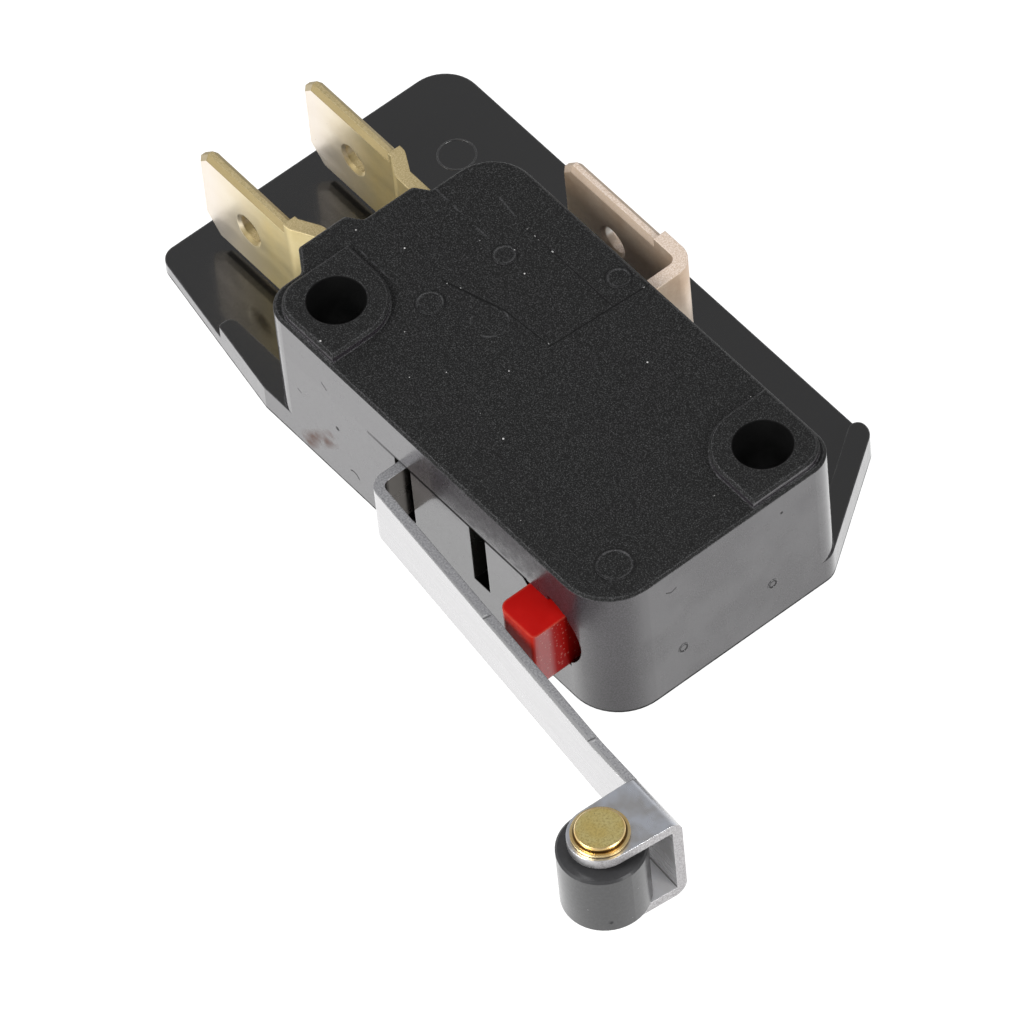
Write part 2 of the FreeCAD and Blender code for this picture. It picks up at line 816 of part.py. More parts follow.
def make_bracket():
    """U-shaped end of the lever: base and two ears with round ends."""
    t = lever_thickness
    centre = vec(roller_offset_x, roller_offset_y)
    r = ear_radius
    base_x = bracket_length
    lean = math.atan2(base_x - centre.x - r, centre.y)
    right = vec(centre.x + r * math.cos(lean), centre.y + r * math.sin(lean))
    left_x = centre.x - r
    points = [bracket_place(left_x, -t), bracket_place(left_x, centre.y),
              bracket_place(centre.x, centre.y + r), bracket_place(right.x, right.y),
              bracket_place(base_x, 0), bracket_place(base_x, -t)]
    edges = [
        Part.LineSegment(points[0], points[1]).toShape(),
        Part.Arc(points[1], points[2], points[3]).toShape(),
        Part.LineSegment(points[3], points[4]).toShape(),
        Part.LineSegment(points[4], points[5]).toShape(),
        Part.LineSegment(points[5], points[0]).toShape(),
    ]
    plan = Part.Face(Part.Wire(edges))
    plan.translate(vec(0, 0, bracket_low))
    solid = plan.extrude(vec(0, 0, bracket_height))
    channel = fold_channel()
    return solid.common(channel)


def fold_channel():
    """Long U section along the strip: outer folds rounded, inside open outwards."""
    t = lever_thickness
    far = roller_offset_y + ear_radius + past
    high = bracket_height
    section = outline([
        (-t, 0, bracket_fold_radius), (far, 0, 0), (far, t, 0), (0, t, bracket_inner_radius),
        (0, high - t, bracket_inner_radius), (far, high - t, 0), (far, high, 0),
        (-t, high, bracket_fold_radius)])
    section.rotate(vec(0, 0), vec(1, 1, 1), 120)
    section.rotate(vec(0, 0), up, 180)
    length = bracket_length + ear_radius * 2
    channel = section.extrude(vec(length, 0, 0))
    channel.translate(vec(-ear_radius, 0, bracket_low))
    channel.rotate(vec(0, 0), up, -lever_end_slope)
    start = bracket_place(0, 0)
    channel.translate(start)
    return channel


def make_lever():
    """Folded steel lever: winged foot in the slot, bend, sloping strip and bracket."""
    half = lever_thickness / 2
    start_y = case_y_min - lever_stand_off
    shift = half / math.cos(slope)
    foot_end = case_y_min + wall + lever_foot_gap + lever_foot_depth
    strip_end_x = bracket_start_x + bracket_length / 2
    route = [
        (foot_x + half, foot_end, 0),
        (foot_x + half, start_y + shift + half * math.tan(slope), lever_bend_radius),
        (lever_kink_x, lever_line(lever_kink_x) + shift, lever_kink_radius),
        (strip_end_x, lever_line(strip_end_x) + shift, 0),
    ]
    strip = bent_strip(route, lever_thickness, lever_low, lever_low + lever_width)
    wing_y = case_y_min + wall + lever_foot_gap
    wing = box(foot_x, foot_x + lever_thickness, wing_y, foot_end,
               lever_low - lever_foot_wing, lever_low + lever_width + lever_foot_wing)
    lever = strip.fuse([wing, make_bracket()])
    centre = roller_place()
    lever = lever.cut(round_bar(centre.x, centre.y, bracket_low - past,
                                bracket_low + bracket_height + past, pin_diameter / 2))
    return lever.removeSplitter()


def make_roller():
    """Plain roller with a through bore and slightly broken edges."""
    centre = roller_place()
    low = roller_low
    body = round_bar(centre.x, centre.y, low, low + roller_length, roller_diameter / 2)
    rims = [e for e in body.Edges if e.BoundBox.ZLength < 1e-6]
    body = body.makeChamfer(roller_edge, rims)
    bore = round_bar(centre.x, centre.y, low - past, low + roller_length + past,
                     pin_diameter / 2 + pin_running_gap)
    return body.cut(bore)


def make_roller_pin():
    """Rivet through both ears: stepped head above, upset end below."""
    centre = roller_place()
    x = centre.x
    y = centre.y
    low = bracket_low
    top = bracket_low + bracket_height
    pin = round_bar(x, y, low, top, pin_diameter / 2)
    flange = round_bar(x, y, top, top + pin_flange_height, pin_flange_radius)
    neck_top = top + pin_flange_height + pin_groove_height
    neck = round_bar(x, y, top + pin_flange_height, neck_top, pin_head_radius - pin_groove_height)
    head = round_bar(x, y, neck_top, neck_top + pin_head_height, pin_head_radius)
    rims = [e for e in head.Edges if e.BoundBox.ZLength < 1e-6]
    head = head.makeChamfer(pin_groove_height, rims)
    upset = Part.makeCone(pin_upset_foot_radius, pin_upset_radius, pin_upset_height,
                          vec(x, y, low - pin_upset_height), up)
    return pin.fuse([flange, neck, head, upset]).removeSplitter()


def save(node, shape):
    """Writes one piece to its file and says how large it is."""
    solids = shape.Solids
    print(node, len(solids), round(shape.Volume, 3), shape.isValid())
    shape.exportStep(os.path.join("parts", node + ".step"))


def main():
    os.makedirs("parts", exist_ok=True)
    save("case", make_case())
    save("cover", make_cover())
    save("plunger", make_plunger())
    save("lever", make_lever())
    save("roller", make_roller())
    save("roller_pin", make_roller_pin())
    save("normally_closed_terminal", make_closed_terminal())
    save("normally_open_terminal", make_open_terminal())
    save("common_terminal", make_common_terminal())
    save("normally_closed_contact", contact_rivet(closed_face_y, 1))
    save("normally_open_contact", contact_rivet(open_face_y, -1))
    save("contact_arm", make_contact_arm())
    save("moving_contact", make_moving_contact())
    save("swing_lever", make_swing_lever())
    save("snap_spring", make_snap_spring())


main()
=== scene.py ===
# %% [markdown]
# A lever micro switch, seen from above at its plunger end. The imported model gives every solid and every
# moving body. This script adds what solids lack: the finishes, the low rims that moulds leave, the light
# and the camera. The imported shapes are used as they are, so that what is seen is also what moves.

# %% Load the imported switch
import math

import bpy
import numpy as np
from mathutils import Matrix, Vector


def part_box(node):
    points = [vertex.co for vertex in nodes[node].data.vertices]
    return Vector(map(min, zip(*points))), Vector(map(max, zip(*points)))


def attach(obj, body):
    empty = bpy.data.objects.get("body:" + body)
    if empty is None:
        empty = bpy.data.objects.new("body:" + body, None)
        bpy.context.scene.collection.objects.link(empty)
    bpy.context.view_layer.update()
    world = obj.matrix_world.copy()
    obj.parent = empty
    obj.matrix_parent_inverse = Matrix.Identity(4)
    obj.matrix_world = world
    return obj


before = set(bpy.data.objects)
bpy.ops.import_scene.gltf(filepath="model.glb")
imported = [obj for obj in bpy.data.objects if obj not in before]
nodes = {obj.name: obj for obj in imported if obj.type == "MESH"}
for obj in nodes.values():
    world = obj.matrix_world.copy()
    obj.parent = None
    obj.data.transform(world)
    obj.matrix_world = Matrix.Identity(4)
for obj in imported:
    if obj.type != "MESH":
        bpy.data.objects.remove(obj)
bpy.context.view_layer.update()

# %% [markdown]
# The real switch is about 50 mm long, while Blender counts in metres. Places are written in millimetres and
# turned into metres where they are used. Heights and walls could be typed in, but reading them from the
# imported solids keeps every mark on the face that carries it.

# %% Units and the faces that carry marks
MM = 0.001


def corners_mm(name):
    """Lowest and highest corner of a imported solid's box, in millimetres."""
    return [np.array(corner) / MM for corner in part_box(name)]


cover_low, cover_high = corners_mm("cover")
pad_rise = 0.5
cover_top = cover_high[2] - pad_rise
plate_top = 1.0
plunger_wall = cover_high[0]
lever_wall = cover_low[1]
seam = 6.95
hole_places = [(0.0, 0.0), (22.2, 10.3)]
print("cover top", round(cover_top, 3), "walls at x", round(plunger_wall, 3), "and y", round(lever_wall, 3))

# %% [markdown]
# Every finish below is a small tree of shader nodes. Such a tree can be drawn by hand in the editor or
# written node by node. Writing is repeatable but long, so helpers do it.


# %% Helpers for shader trees
def set_or_link(tree, socket, value):
    """A socket as value is linked, and anything else becomes the input's own value."""
    if isinstance(value, bpy.types.NodeSocket):
        tree.links.new(value, socket)
    else:
        socket.default_value = value


def put(tree, kind, inputs=None, **settings):
    """Adds one shader node. inputs maps a socket's name or number to a value or to another node's socket."""
    made = tree.nodes.new("ShaderNode" + kind)
    for key, value in settings.items():
        setattr(made, key, value)
    for key, value in (inputs or {}).items():
        set_or_link(tree, made.inputs[key], value)
    return made


def calc(tree, operation, *values, clamp=False):
    """One Math node on up to three values; gives its result socket."""
    return put(tree, "Math", dict(enumerate(values)), operation=operation, use_clamp=clamp).outputs[0]


print("node helpers ready")

# %% [markdown]
# What several finishes need, such as grain, dust and edges, is built once as a node group with named inputs,
# and each finish places it with its own values.


# %% Helpers for node groups
def open_group(name, inputs, outputs):
    """A shader node group with named number and vector inputs, (name, start value), and named outputs."""
    tree = bpy.data.node_groups.new(name, "ShaderNodeTree")
    for label, start in inputs:
        kind = "NodeSocketVector" if start is None else "NodeSocketFloat"
        socket = tree.interface.new_socket(name=label, in_out="INPUT", socket_type=kind)
        if start is not None:
            socket.default_value = start
    for label, kind in outputs:
        tree.interface.new_socket(name=label, in_out="OUTPUT", socket_type="NodeSocket" + kind)
    return tree, tree.nodes.new("NodeGroupInput").outputs, tree.nodes.new("NodeGroupOutput").inputs


def use(tree, group, **values):
    """Places a node group in a tree. Underscores in the keyword names stand for spaces."""
    made = tree.nodes.new("ShaderNodeGroup")
    made.node_tree = group
    for key, value in values.items():
        set_or_link(tree, made.inputs[key.replace("_", " ")], value)
    return made.outputs


print("group helpers ready")

# %% [markdown]
# Nearly every mask is arithmetic on other masks: a product where both must hold, the largest value where
# any of them does, and a stretch of a range to 0..1. The helpers carry the names of what they do, so that a
# finish reads as a sentence.


# %% Helpers for masks
def spread(tree, value, low, high, to_low=0.0, to_high=1.0):
    """Maps low..high to to_low..to_high, held at both ends."""
    return put(tree, "MapRange", {"Value": value, "From Min": low, "From Max": high,
                                  "To Min": to_low, "To Max": to_high}).outputs[0]


def spread_mm(tree, coordinate, low, high, to_low=0.0, to_high=1.0):
    """spread of one coordinate of a place, with low and high in millimetres."""
    return spread(tree, coordinate, low * MM, high * MM, to_low, to_high)


def joined(tree, masks):
    """The largest of several masks at every place."""
    total = masks[0]
    for mask in masks[1:]:
        total = calc(tree, "MAXIMUM", total, mask)
    return total


def times(tree, *masks):
    """Product of several masks or numbers."""
    total = masks[0]
    for mask in masks[1:]:
        total = calc(tree, "MULTIPLY", total, mask)
    return total


def rest_of(tree, mask):
    """1 less the mask: where the mask doesn't reach."""
    return calc(tree, "SUBTRACT", 1.0, mask)


print("mask helpers ready")

# %% [markdown]
# Grain is the fine unevenness of a surface: spark-eroded mould texture on the cover, pulled lines on rolled
# steel. An image could show it but would blur close up. A noise texture on object coordinates stays sharp,
# and pulling the coordinates along one direction turns round grains into lines, so one group serves both.

# %% Group: grain
grain, gi, go = open_group("grain", [("Vector", None), ("Per mm", 8.0), ("Stretch X", 1.0), ("Stretch Y", 1.0),
                                     ("Stretch Z", 1.0), ("Detail", 3.0)],
                           [("Height", "Float"), ("Coarse", "Float")])
fine_roughness, coarse_share, coarse_detail = 0.65, 0.13, 2.0
stretch = put(grain, "CombineXYZ", {0: gi["Stretch X"], 1: gi["Stretch Y"], 2: gi["Stretch Z"]})
pulled = put(grain, "VectorMath", {0: gi["Vector"], 1: stretch.outputs[0]}, operation="MULTIPLY").outputs[0]
per_metre = calc(grain, "MULTIPLY", gi["Per mm"], 1.0 / MM)
fine_noise = put(grain, "TexNoise", {"Vector": pulled, "Scale": per_metre, "Detail": gi["Detail"],
                                     "Roughness": fine_roughness})
coarse_noise = put(grain, "TexNoise", {"Vector": pulled, "Scale": calc(grain, "MULTIPLY", per_metre, coarse_share),
                                       "Detail": coarse_detail})
grain.links.new(fine_noise.outputs[0], go["Height"])
grain.links.new(coarse_noise.outputs[0], go["Coarse"])
print("group", grain.name, len(grain.nodes), "nodes")

# %% [markdown]
# Loose dust and bright flecks are sparse dots. Small balls would do but cost many faces. A Voronoi texture
# gives one cell point for each dot: the distance to it makes the dot, and the cell's own random colour
# decides whether that dot is there and how large it is.

# %% Group: specks
specks, gi, go = open_group("specks", [("Vector", None), ("Per mm", 1.0), ("Size", 0.1), ("Share", 0.2)],
                            [("Mask", "Float")])
smallest = 0.35
per_metre = calc(specks, "MULTIPLY", gi["Per mm"], 1.0 / MM)
cells = put(specks, "TexVoronoi", {"Vector": gi["Vector"], "Scale": per_metre})
chance = put(specks, "SeparateColor", {0: cells.outputs["Color"]})
kept = calc(specks, "LESS_THAN", chance.outputs[0], gi["Share"])
own_size = calc(specks, "MULTIPLY", gi["Size"], calc(specks, "ADD", chance.outputs[1], smallest))
near = calc(specks, "LESS_THAN", cells.outputs["Distance"], own_size)
specks.links.new(calc(specks, "MULTIPLY", kept, near), go["Mask"])
print("group", specks.name, len(specks.nodes), "nodes")

# %% [markdown]
# Real edges are never sharp. Cutting bevels into the imported meshes isn't allowed, so the Bevel node rounds
# only the shading normal within a small radius. Where that departs from the true normal there is an edge,
# and the difference is also the mask for painted edge highlights, broken up by noise.

# %% Group: soft edges
soft_edge, gi, go = open_group("soft_edge", [("Vector", None), ("Radius mm", 0.1), ("Patchy", 0.5)],
                               [("Mask", "Float"), ("Normal", "Vector")])
edge_gain = 6.0
breaks_per_metre, break_detail, break_gain = 2600.0, 4.0, 1.6
rounded = put(soft_edge, "Bevel", {"Radius": calc(soft_edge, "MULTIPLY", gi["Radius mm"], MM)}, samples=5).outputs[0]
true_normal = put(soft_edge, "NewGeometry").outputs["Normal"]
agree = put(soft_edge, "VectorMath", {0: rounded, 1: true_normal}, operation="DOT_PRODUCT").outputs["Value"]
edge = calc(soft_edge, "MULTIPLY", rest_of(soft_edge, agree), edge_gain, clamp=True)
breaks = put(soft_edge, "TexNoise", {"Vector": gi["Vector"], "Scale": breaks_per_metre,
                                     "Detail": break_detail}).outputs[0]
bare = calc(soft_edge, "MULTIPLY", gi["Patchy"], calc(soft_edge, "MULTIPLY", breaks, break_gain), clamp=True)
soft_edge.links.new(calc(soft_edge, "MULTIPLY", edge, rest_of(soft_edge, bare)), go["Mask"])
soft_edge.links.new(rounded, go["Normal"])
print("group", soft_edge.name, len(soft_edge.nodes), "nodes")

# %% [markdown]
# Cut lines and scratches are straight and too thin to be worth geometry. A line is all places closer than
# half its width to the nearest point of a segment: the place is projected on the segment, the share along it
# is held between 0 and 1, and the distance to that point is compared with the width.

# %% Group: straight line
line_mark, gi, go = open_group("line_mark", [("Vector", None), ("From X", 0.0), ("From Y", 0.0), ("Run X", 1.0),
                                             ("Run Y", 0.0), ("Width", 0.1)], [("Mask", "Float")])
full_at, gone_at = 0.25, 0.75
per_mm = (1.0 / MM, 1.0 / MM, 0.0)
start = put(line_mark, "CombineXYZ", {0: gi["From X"], 1: gi["From Y"]}).outputs[0]
run = put(line_mark, "CombineXYZ", {0: gi["Run X"], 1: gi["Run Y"]}).outputs[0]
flat = put(line_mark, "VectorMath", {0: gi["Vector"], 1: per_mm}, operation="MULTIPLY").outputs[0]
away = put(line_mark, "VectorMath", {0: flat, 1: start}, operation="SUBTRACT").outputs[0]
along = put(line_mark, "VectorMath", {0: away, 1: run}, operation="DOT_PRODUCT").outputs["Value"]
whole = put(line_mark, "VectorMath", {0: run, 1: run}, operation="DOT_PRODUCT").outputs["Value"]
share = calc(line_mark, "DIVIDE", along, whole, clamp=True)
foot = put(line_mark, "VectorMath", {0: run, "Scale": share}, operation="SCALE").outputs[0]
gap = put(line_mark, "VectorMath", {0: away, 1: foot}, operation="DISTANCE").outputs["Value"]
shape = spread(line_mark, gap, calc(line_mark, "MULTIPLY", gi["Width"], full_at),
               calc(line_mark, "MULTIPLY", gi["Width"], gone_at), 1.0, 0.0)
line_mark.links.new(shape, go["Mask"])
print("group", line_mark.name, len(line_mark.nodes), "nodes")

# %% [markdown]
# Ejector pins, screw holes and small blemishes are round. The distance to a centre, less the radius, is how
# far a place lies from the circle: within half the width it belongs to the ring. Radius 0 makes a full dot,
# so one group draws rings, dots and discs.

# %% Group: round mark
round_mark, gi, go = open_group("round_mark", [("Vector", None), ("At X", 0.0), ("At Y", 0.0), ("Radius", 0.0),
                                               ("Width", 0.2), ("Soft", 0.1)], [("Mask", "Float")])
flat = put(round_mark, "VectorMath", {0: gi["Vector"], 1: per_mm}, operation="MULTIPLY").outputs[0]
centre = put(round_mark, "CombineXYZ", {0: gi["At X"], 1: gi["At Y"]}).outputs[0]
gap = put(round_mark, "VectorMath", {0: flat, 1: centre}, operation="DISTANCE").outputs["Value"]
off_ring = calc(round_mark, "ABSOLUTE", calc(round_mark, "SUBTRACT", gap, gi["Radius"]))
half = calc(round_mark, "MULTIPLY", gi["Width"], 0.5)
shape = spread(round_mark, off_ring, half, calc(round_mark, "ADD", half, gi["Soft"]), 1.0, 0.0)
round_mark.links.new(shape, go["Mask"])
print("group", round_mark.name, len(round_mark.nodes), "nodes")

# %% [markdown]
# The groups are placed dozens of times. These short helpers place one with plain numbers and hand back only
# its masks. Lines and rings are measured in millimetres.


# %% Helpers that place the groups
def grain_at(tree, place, per_mm, detail, along=(1.0, 1.0, 1.0)):
    """Fine and coarse grain. A share below 1 in along pulls the grain out in that direction."""
    return tuple(use(tree, grain, Vector=place, Per_mm=per_mm, Detail=detail, Stretch_X=along[0],
                     Stretch_Y=along[1], Stretch_Z=along[2]))


def specks_at(tree, place, per_mm, size, share):
    """Mask of sparse dots. size is a share of a cell, and share is how many cells have a dot."""
    return use(tree, specks, Vector=place, Per_mm=per_mm, Size=size, Share=share)[0]


def edges_at(tree, place, radius_mm, patchy):
    """Mask of the edges and the rounded normal."""
    return tuple(use(tree, soft_edge, Vector=place, Radius_mm=radius_mm, Patchy=patchy))


def line_at(tree, place, x, y, run_x, run_y, width):
    """Mask of one straight line."""
    return use(tree, line_mark, Vector=place, From_X=x, From_Y=y, Run_X=run_x, Run_Y=run_y, Width=width)[0]


def ring_at(tree, place, x, y, width, soft, radius=0.0):
    """Mask of one ring, or of a disc of that width where the radius is 0."""
    return use(tree, round_mark, Vector=place, At_X=x, At_Y=y, Radius=radius, Width=width, Soft=soft)[0]


print("placing helpers ready")

# %% [markdown]
# Plastic, brass and steel all start in the same way: one Principled shader whose plain values are set on its
# own sockets. What changes over the surface is joined at the end.


# %% Helpers that open and close a finish
def open_finish(name, colour, metallic=0.0, **fixed):
    """New material with a Principled shader; fixed sets plain values on the shader's own sockets."""
    made = bpy.data.materials.new(name)
    made.use_nodes = True
    tree = made.node_tree
    shader = tree.nodes["Principled BSDF"]
    shader.inputs["Base Color"].default_value = (*colour, 1.0)
    shader.inputs["Metallic"].default_value = metallic
    for key, value in fixed.items():
        shader.inputs[key.replace("_", " ")].default_value = value
    place = put(tree, "TexCoord").outputs["Object"]
    return made, tree, shader, place


def feed(tree, shader, **values):
    """Joins sockets to the shader's inputs, which are named as in use."""
    for key, value in values.items():
        tree.links.new(value, shader.inputs[key.replace("_", " ")])


def parts_of(tree, vector):
    """The X, Y and Z sockets of a vector."""
    return tuple(put(tree, "SeparateXYZ", {0: vector}).outputs)


def facing(tree):
    """The X, Y and Z sockets of the true normal, which say where a face looks."""
    return parts_of(tree, put(tree, "NewGeometry").outputs["Normal"])


print("finish helpers ready")

# %% [markdown]
# Colours are laid over each other through masks, as coats of paint would be. The grain also moves the
# normal a little, because a perfectly smooth normal makes any metal look like glass.


# %% Helpers for colour and relief
def mix(tree, mask, first, second):
    """Colour mix: first where mask is 0, second where it is 1."""
    first, second = ((*c, 1.0) if isinstance(c, tuple) else c for c in (first, second))
    return put(tree, "Mix", {0: mask, 6: first, 7: second}, data_type="RGBA").outputs[2]


def painted(tree, colour, coats):
    """Lays coats over a colour one after another; a coat is (mask, its colour)."""
    for mask, coat in coats:
        colour = mix(tree, mask, colour, coat)
    return colour


def turned(tree, first, second):
    """Place vector whose X and Y are two chosen coordinates, so that flat marks can lie on a side wall."""
    return put(tree, "CombineXYZ", {0: first, 1: second}).outputs[0]


def relief(tree, height, distance_mm, strength, normal):
    """Bump on top of a normal; gives the new normal."""
    return put(tree, "Bump", {"Height": height, "Distance": distance_mm * MM, "Strength": strength,
                              "Normal": normal}).outputs[0]


print("colour helpers ready")

# %% [markdown]
# The housing is black glass-filled plastic. Its side walls and the barrier plate come out of polished steel
# and are glossy, while the cover's top was spark-eroded and is matt with fine light grains. Two materials
# would need the mesh to be cut, so one material does both: a mask from height and facing picks the matt top.

# %% Finish: black moulded housing
housing, tree, shader, place = open_finish("black_moulded_housing", (0.010, 0.010, 0.011), IOR=1.25,
                                           Coat_IOR=1.85, Coat_Roughness=0.12)
normal = put(tree, "NewGeometry").outputs["Normal"]
px, py, pz = parts_of(tree, place)
nx, ny, nz = parts_of(tree, normal)
sparked_from, sparked_full = cover_top - 0.25, cover_top - 0.12
high_up = spread_mm(tree, pz, sparked_from, sparked_full)
upward = spread(tree, nz, 0.35, 0.65)
matt = times(tree, high_up, upward)
# The screw holes are masked for their painted shade.
bore_width = 3.26
bore_shade = joined(tree, [ring_at(tree, place, x, y, bore_width, 0.02) for x, y in hole_places])
edge_mask, edge_normal = edges_at(tree, place, 0.13, 0.7)
fine, coarse = grain_at(tree, place, 14.0, 3.0)
flecks = specks_at(tree, place, 12.0, 0.28, 0.28)
dust = specks_at(tree, place, 0.9, 0.045, 0.70)
print("housing masks", len(tree.nodes), "nodes")

# %% [markdown]
# Cover and case meet without a step. Only on the lever wall does a dark hairline show, and it fades towards
# the terminals. The rounded normal would draw a line all the way round, so it is left out beside the seam.

# %% The seam between case and cover
off_seam = calc(tree, "ABSOLUTE", calc(tree, "SUBTRACT", pz, seam * MM))
by_seam = spread_mm(tree, off_seam, 0.22, 0.18)
smooth = put(tree, "Mix", {0: by_seam, 4: edge_normal, 5: normal}, data_type="VECTOR").outputs[1]
# The edges get a painted highlight, except beside the seam.
edge_highlight_mask = times(tree, edge_mask, rest_of(tree, by_seam))
lever_side = turned(tree, px, pz)
on_lever_wall = spread(tree, ny, -0.8, -0.95)
hairline_start, hairline_full, hairline_run = 5.7, 9.5, 12.9
hairline = times(tree, on_lever_wall, line_at(tree, lever_side, hairline_start, seam, hairline_run, 0.0, 0.22),
                 spread_mm(tree, px, hairline_start, hairline_full, 0.5, 1.0))
print("seam at", seam, "mm")

# %% [markdown]
# The diagram shows a changeover contact as a generic symbol: a moving arm, two fixed contacts and their
# leads. Each line is (start x, start y, run x, run y, width). The largest of all line masks joins them into
# one drawing, which darkens the surface and sinks it. Lint has settled in the grooves.

# %% The contact diagram on the cover
diagram = [(2.42, 5.18, 3.71, 1.11, 0.14), (6.13, 6.29, 3.40, 0.27, 0.08), (9.53, 6.56, 0.34, 6.5, 0.09),
           (2.27, 10.62, 7.35, 0.0, 0.07)]
faint_lines = [(-2.14, 3.24, 3.21, -0.04), (-2.54, 8.77, 2.83, -0.08), (0.9, 8.7, 1.2, 0.0),
               (-0.03, 10.9, 1.6, -0.2)]
faint_width = 0.10
drawing = times(tree, joined(tree, [line_at(tree, place, *row) for row in diagram]), matt)
hints = times(tree, joined(tree, [line_at(tree, place, *row, faint_width) for row in faint_lines]), matt,
              spread(tree, coarse, 0.40, 0.60))
lint = times(tree, drawing, specks_at(tree, place, 3.0, 0.17, 0.34))
print("diagram lines", len(diagram) + len(faint_lines))

# %% [markdown]
# Ejector pins press on the warm cover and leave round marks. Each is (x, y, radius). A lip of plastic stands
# round it, which is made as geometry further down, and here the lip gets painted shade on its outer side and a
# painted highlight on its inner side. One mark has no lip, so it gets only the ring of painted highlight.

# %% Round mould marks on the cover
pin_marks = [(3.09, 3.73, 0.72), (3.24, 8.64, 0.60), (8.44, 12.06, 0.62), (22.73, -0.08, 0.95)]
flat_mark = (6.16, 5.23, 1.05)
# Painted shade outside each lip and a painted highlight inside it.
ring_shade = joined(tree, [ring_at(tree, place, x, y, 0.06, 0.06, r + 0.07) for x, y, r in pin_marks])
ring_highlight = joined(tree, [ring_at(tree, place, x, y, 0.04, 0.06, r - 0.06) for x, y, r in [*pin_marks, flat_mark]])
ring_highlight = times(tree, ring_highlight, matt, spread(tree, coarse, 0.42, 0.60))
print("round marks", len(pin_marks) + 1)

# %% [markdown]
# Small blemishes come from the mould and from handling: dots, short scratches and an arc on the two walls
# that face the camera, and a thumb mark low on the lever wall that dulls the gloss. They are masks like the
# diagram's, laid in the plane of the wall. A dark line of painted contact shadow runs along the very bottom.

# %% Blemishes on the walls
plunger_side = turned(tree, py, pz)
on_plunger_wall = spread(tree, nx, 0.8, 0.95)
lever_dot, plunger_dot = (2.87, 4.58, 0.22, 0.07), (9.07, 8.31, 0.14, 0.05)
lever_scratches = [(1.9, 7.55, 0.35, -0.3, 0.09), (-0.4, 4.9, 0.25, -0.12, 0.07)]
plunger_scratches = [(1.35, 8.32, 0.3, -0.2, 0.07), (1.65, 8.12, 0.35, 0.12, 0.07)]
wall_pins = [(8.15, 3.08, 0.22), (2.14, 2.98, 0.24)]
arc = times(tree, ring_at(tree, lever_side, 3.93, 1.48, 0.06, 0.05, 0.42), spread_mm(tree, pz, 1.55, 1.66),
            spread_mm(tree, px, 3.58, 3.70))
lever_marks = joined(tree, [ring_at(tree, lever_side, *lever_dot), arc,
                            *[line_at(tree, lever_side, *row) for row in lever_scratches]])
plunger_marks = joined(tree, [ring_at(tree, plunger_side, *plunger_dot),
                              *[ring_at(tree, plunger_side, y, z, 0.05, 0.06, r) for y, z, r in wall_pins],
                              *[line_at(tree, plunger_side, *row) for row in plunger_scratches]])
marks = joined(tree, [times(tree, lever_marks, on_lever_wall), times(tree, plunger_marks, on_plunger_wall)])
skin_lines = put(tree, "TexNoise", {"Vector": place, "Scale": 1100.0, "Detail": 5.0}).outputs[0]
thumb = (0.0, 0.95, 2.2, 2.1, 0.95)
thumb_mark = times(tree, line_at(tree, lever_side, *thumb), spread(tree, skin_lines, 0.28, 0.62), on_lever_wall)
# A dark line of painted contact shadow along the bottom edge.
shadow_line_top, shadow_line_full = 0.36, 0.30
contact_shadow_line = times(tree, spread_mm(tree, pz, shadow_line_top, shadow_line_full), spread(tree, coarse, 0.40, 0.60, 0.75, 1.0))
print("wall marks", len(tree.nodes), "nodes")

# %% [markdown]
# Now the coats of colour: the polished walls with a lilac tinge, the sparked top, grains and flecks of glass
# fibre, dust, the thumb mark, painted edge highlights, painted highlight and shade on the mould rims, and the
# drawing last, because it is cut through all the others.

# %% Colours of the housing
polish_black, polish_lilac, sparked = (0.004, 0.004, 0.004), (0.060, 0.050, 0.062), (0.008, 0.008, 0.008)
grain_grey, fibre_grey, dust_grey = (0.088, 0.089, 0.090), (0.105, 0.106, 0.108), (0.62, 0.61, 0.60)
skin_brown, top_edge_highlight, low_edge_highlight = (0.17, 0.105, 0.085), (0.36, 0.36, 0.37), (0.40, 0.40, 0.41)
hint_grey, lip_highlight, lip_shade = (0.20, 0.20, 0.21), (0.16, 0.16, 0.165), (0.003, 0.003, 0.003)
groove_black, lint_grey = (0.0015, 0.0015, 0.0015), (0.50, 0.50, 0.49)
grains = times(tree, matt, spread(tree, fine, 0.50, 0.68))
polish = times(tree, spread(tree, fine, 0.38, 0.66), rest_of(tree, upward))
low_down = spread_mm(tree, pz, 6.4, 6.2)
colour = painted(tree, mix(tree, polish, polish_black, polish_lilac), [
    (matt, sparked),
    (times(tree, grains, 0.60), grain_grey),
    (times(tree, flecks, matt, 0.50), fibre_grey),
    (times(tree, dust, matt, 0.9), dust_grey),
    (times(tree, thumb_mark, 0.75), skin_brown),
    (times(tree, edge_highlight_mask, high_up, spread(tree, fine, 0.40, 0.60, 0.15, 0.75)), top_edge_highlight),
    (times(tree, edge_highlight_mask, low_down, spread(tree, coarse, 0.35, 0.60, 0.25, 0.70)), low_edge_highlight),
    (times(tree, hints, 0.16), hint_grey),
    (times(tree, ring_highlight, 0.22), lip_highlight),
    (times(tree, ring_shade, matt, 0.65), lip_shade),
    (times(tree, drawing, 0.8), groove_black),
    (times(tree, lint, 0.8), lint_grey)])
print("housing coats laid", len(tree.nodes), "nodes")

# %% [markdown]
# Gloss is what tells the walls from the top. The clear coat mirrors the white floor, and it is held back
# where the plastic is worn: in soft patches, above the seam, at the rounded corner by the plunger, on faces
# that look up, and on the wall behind the terminals.

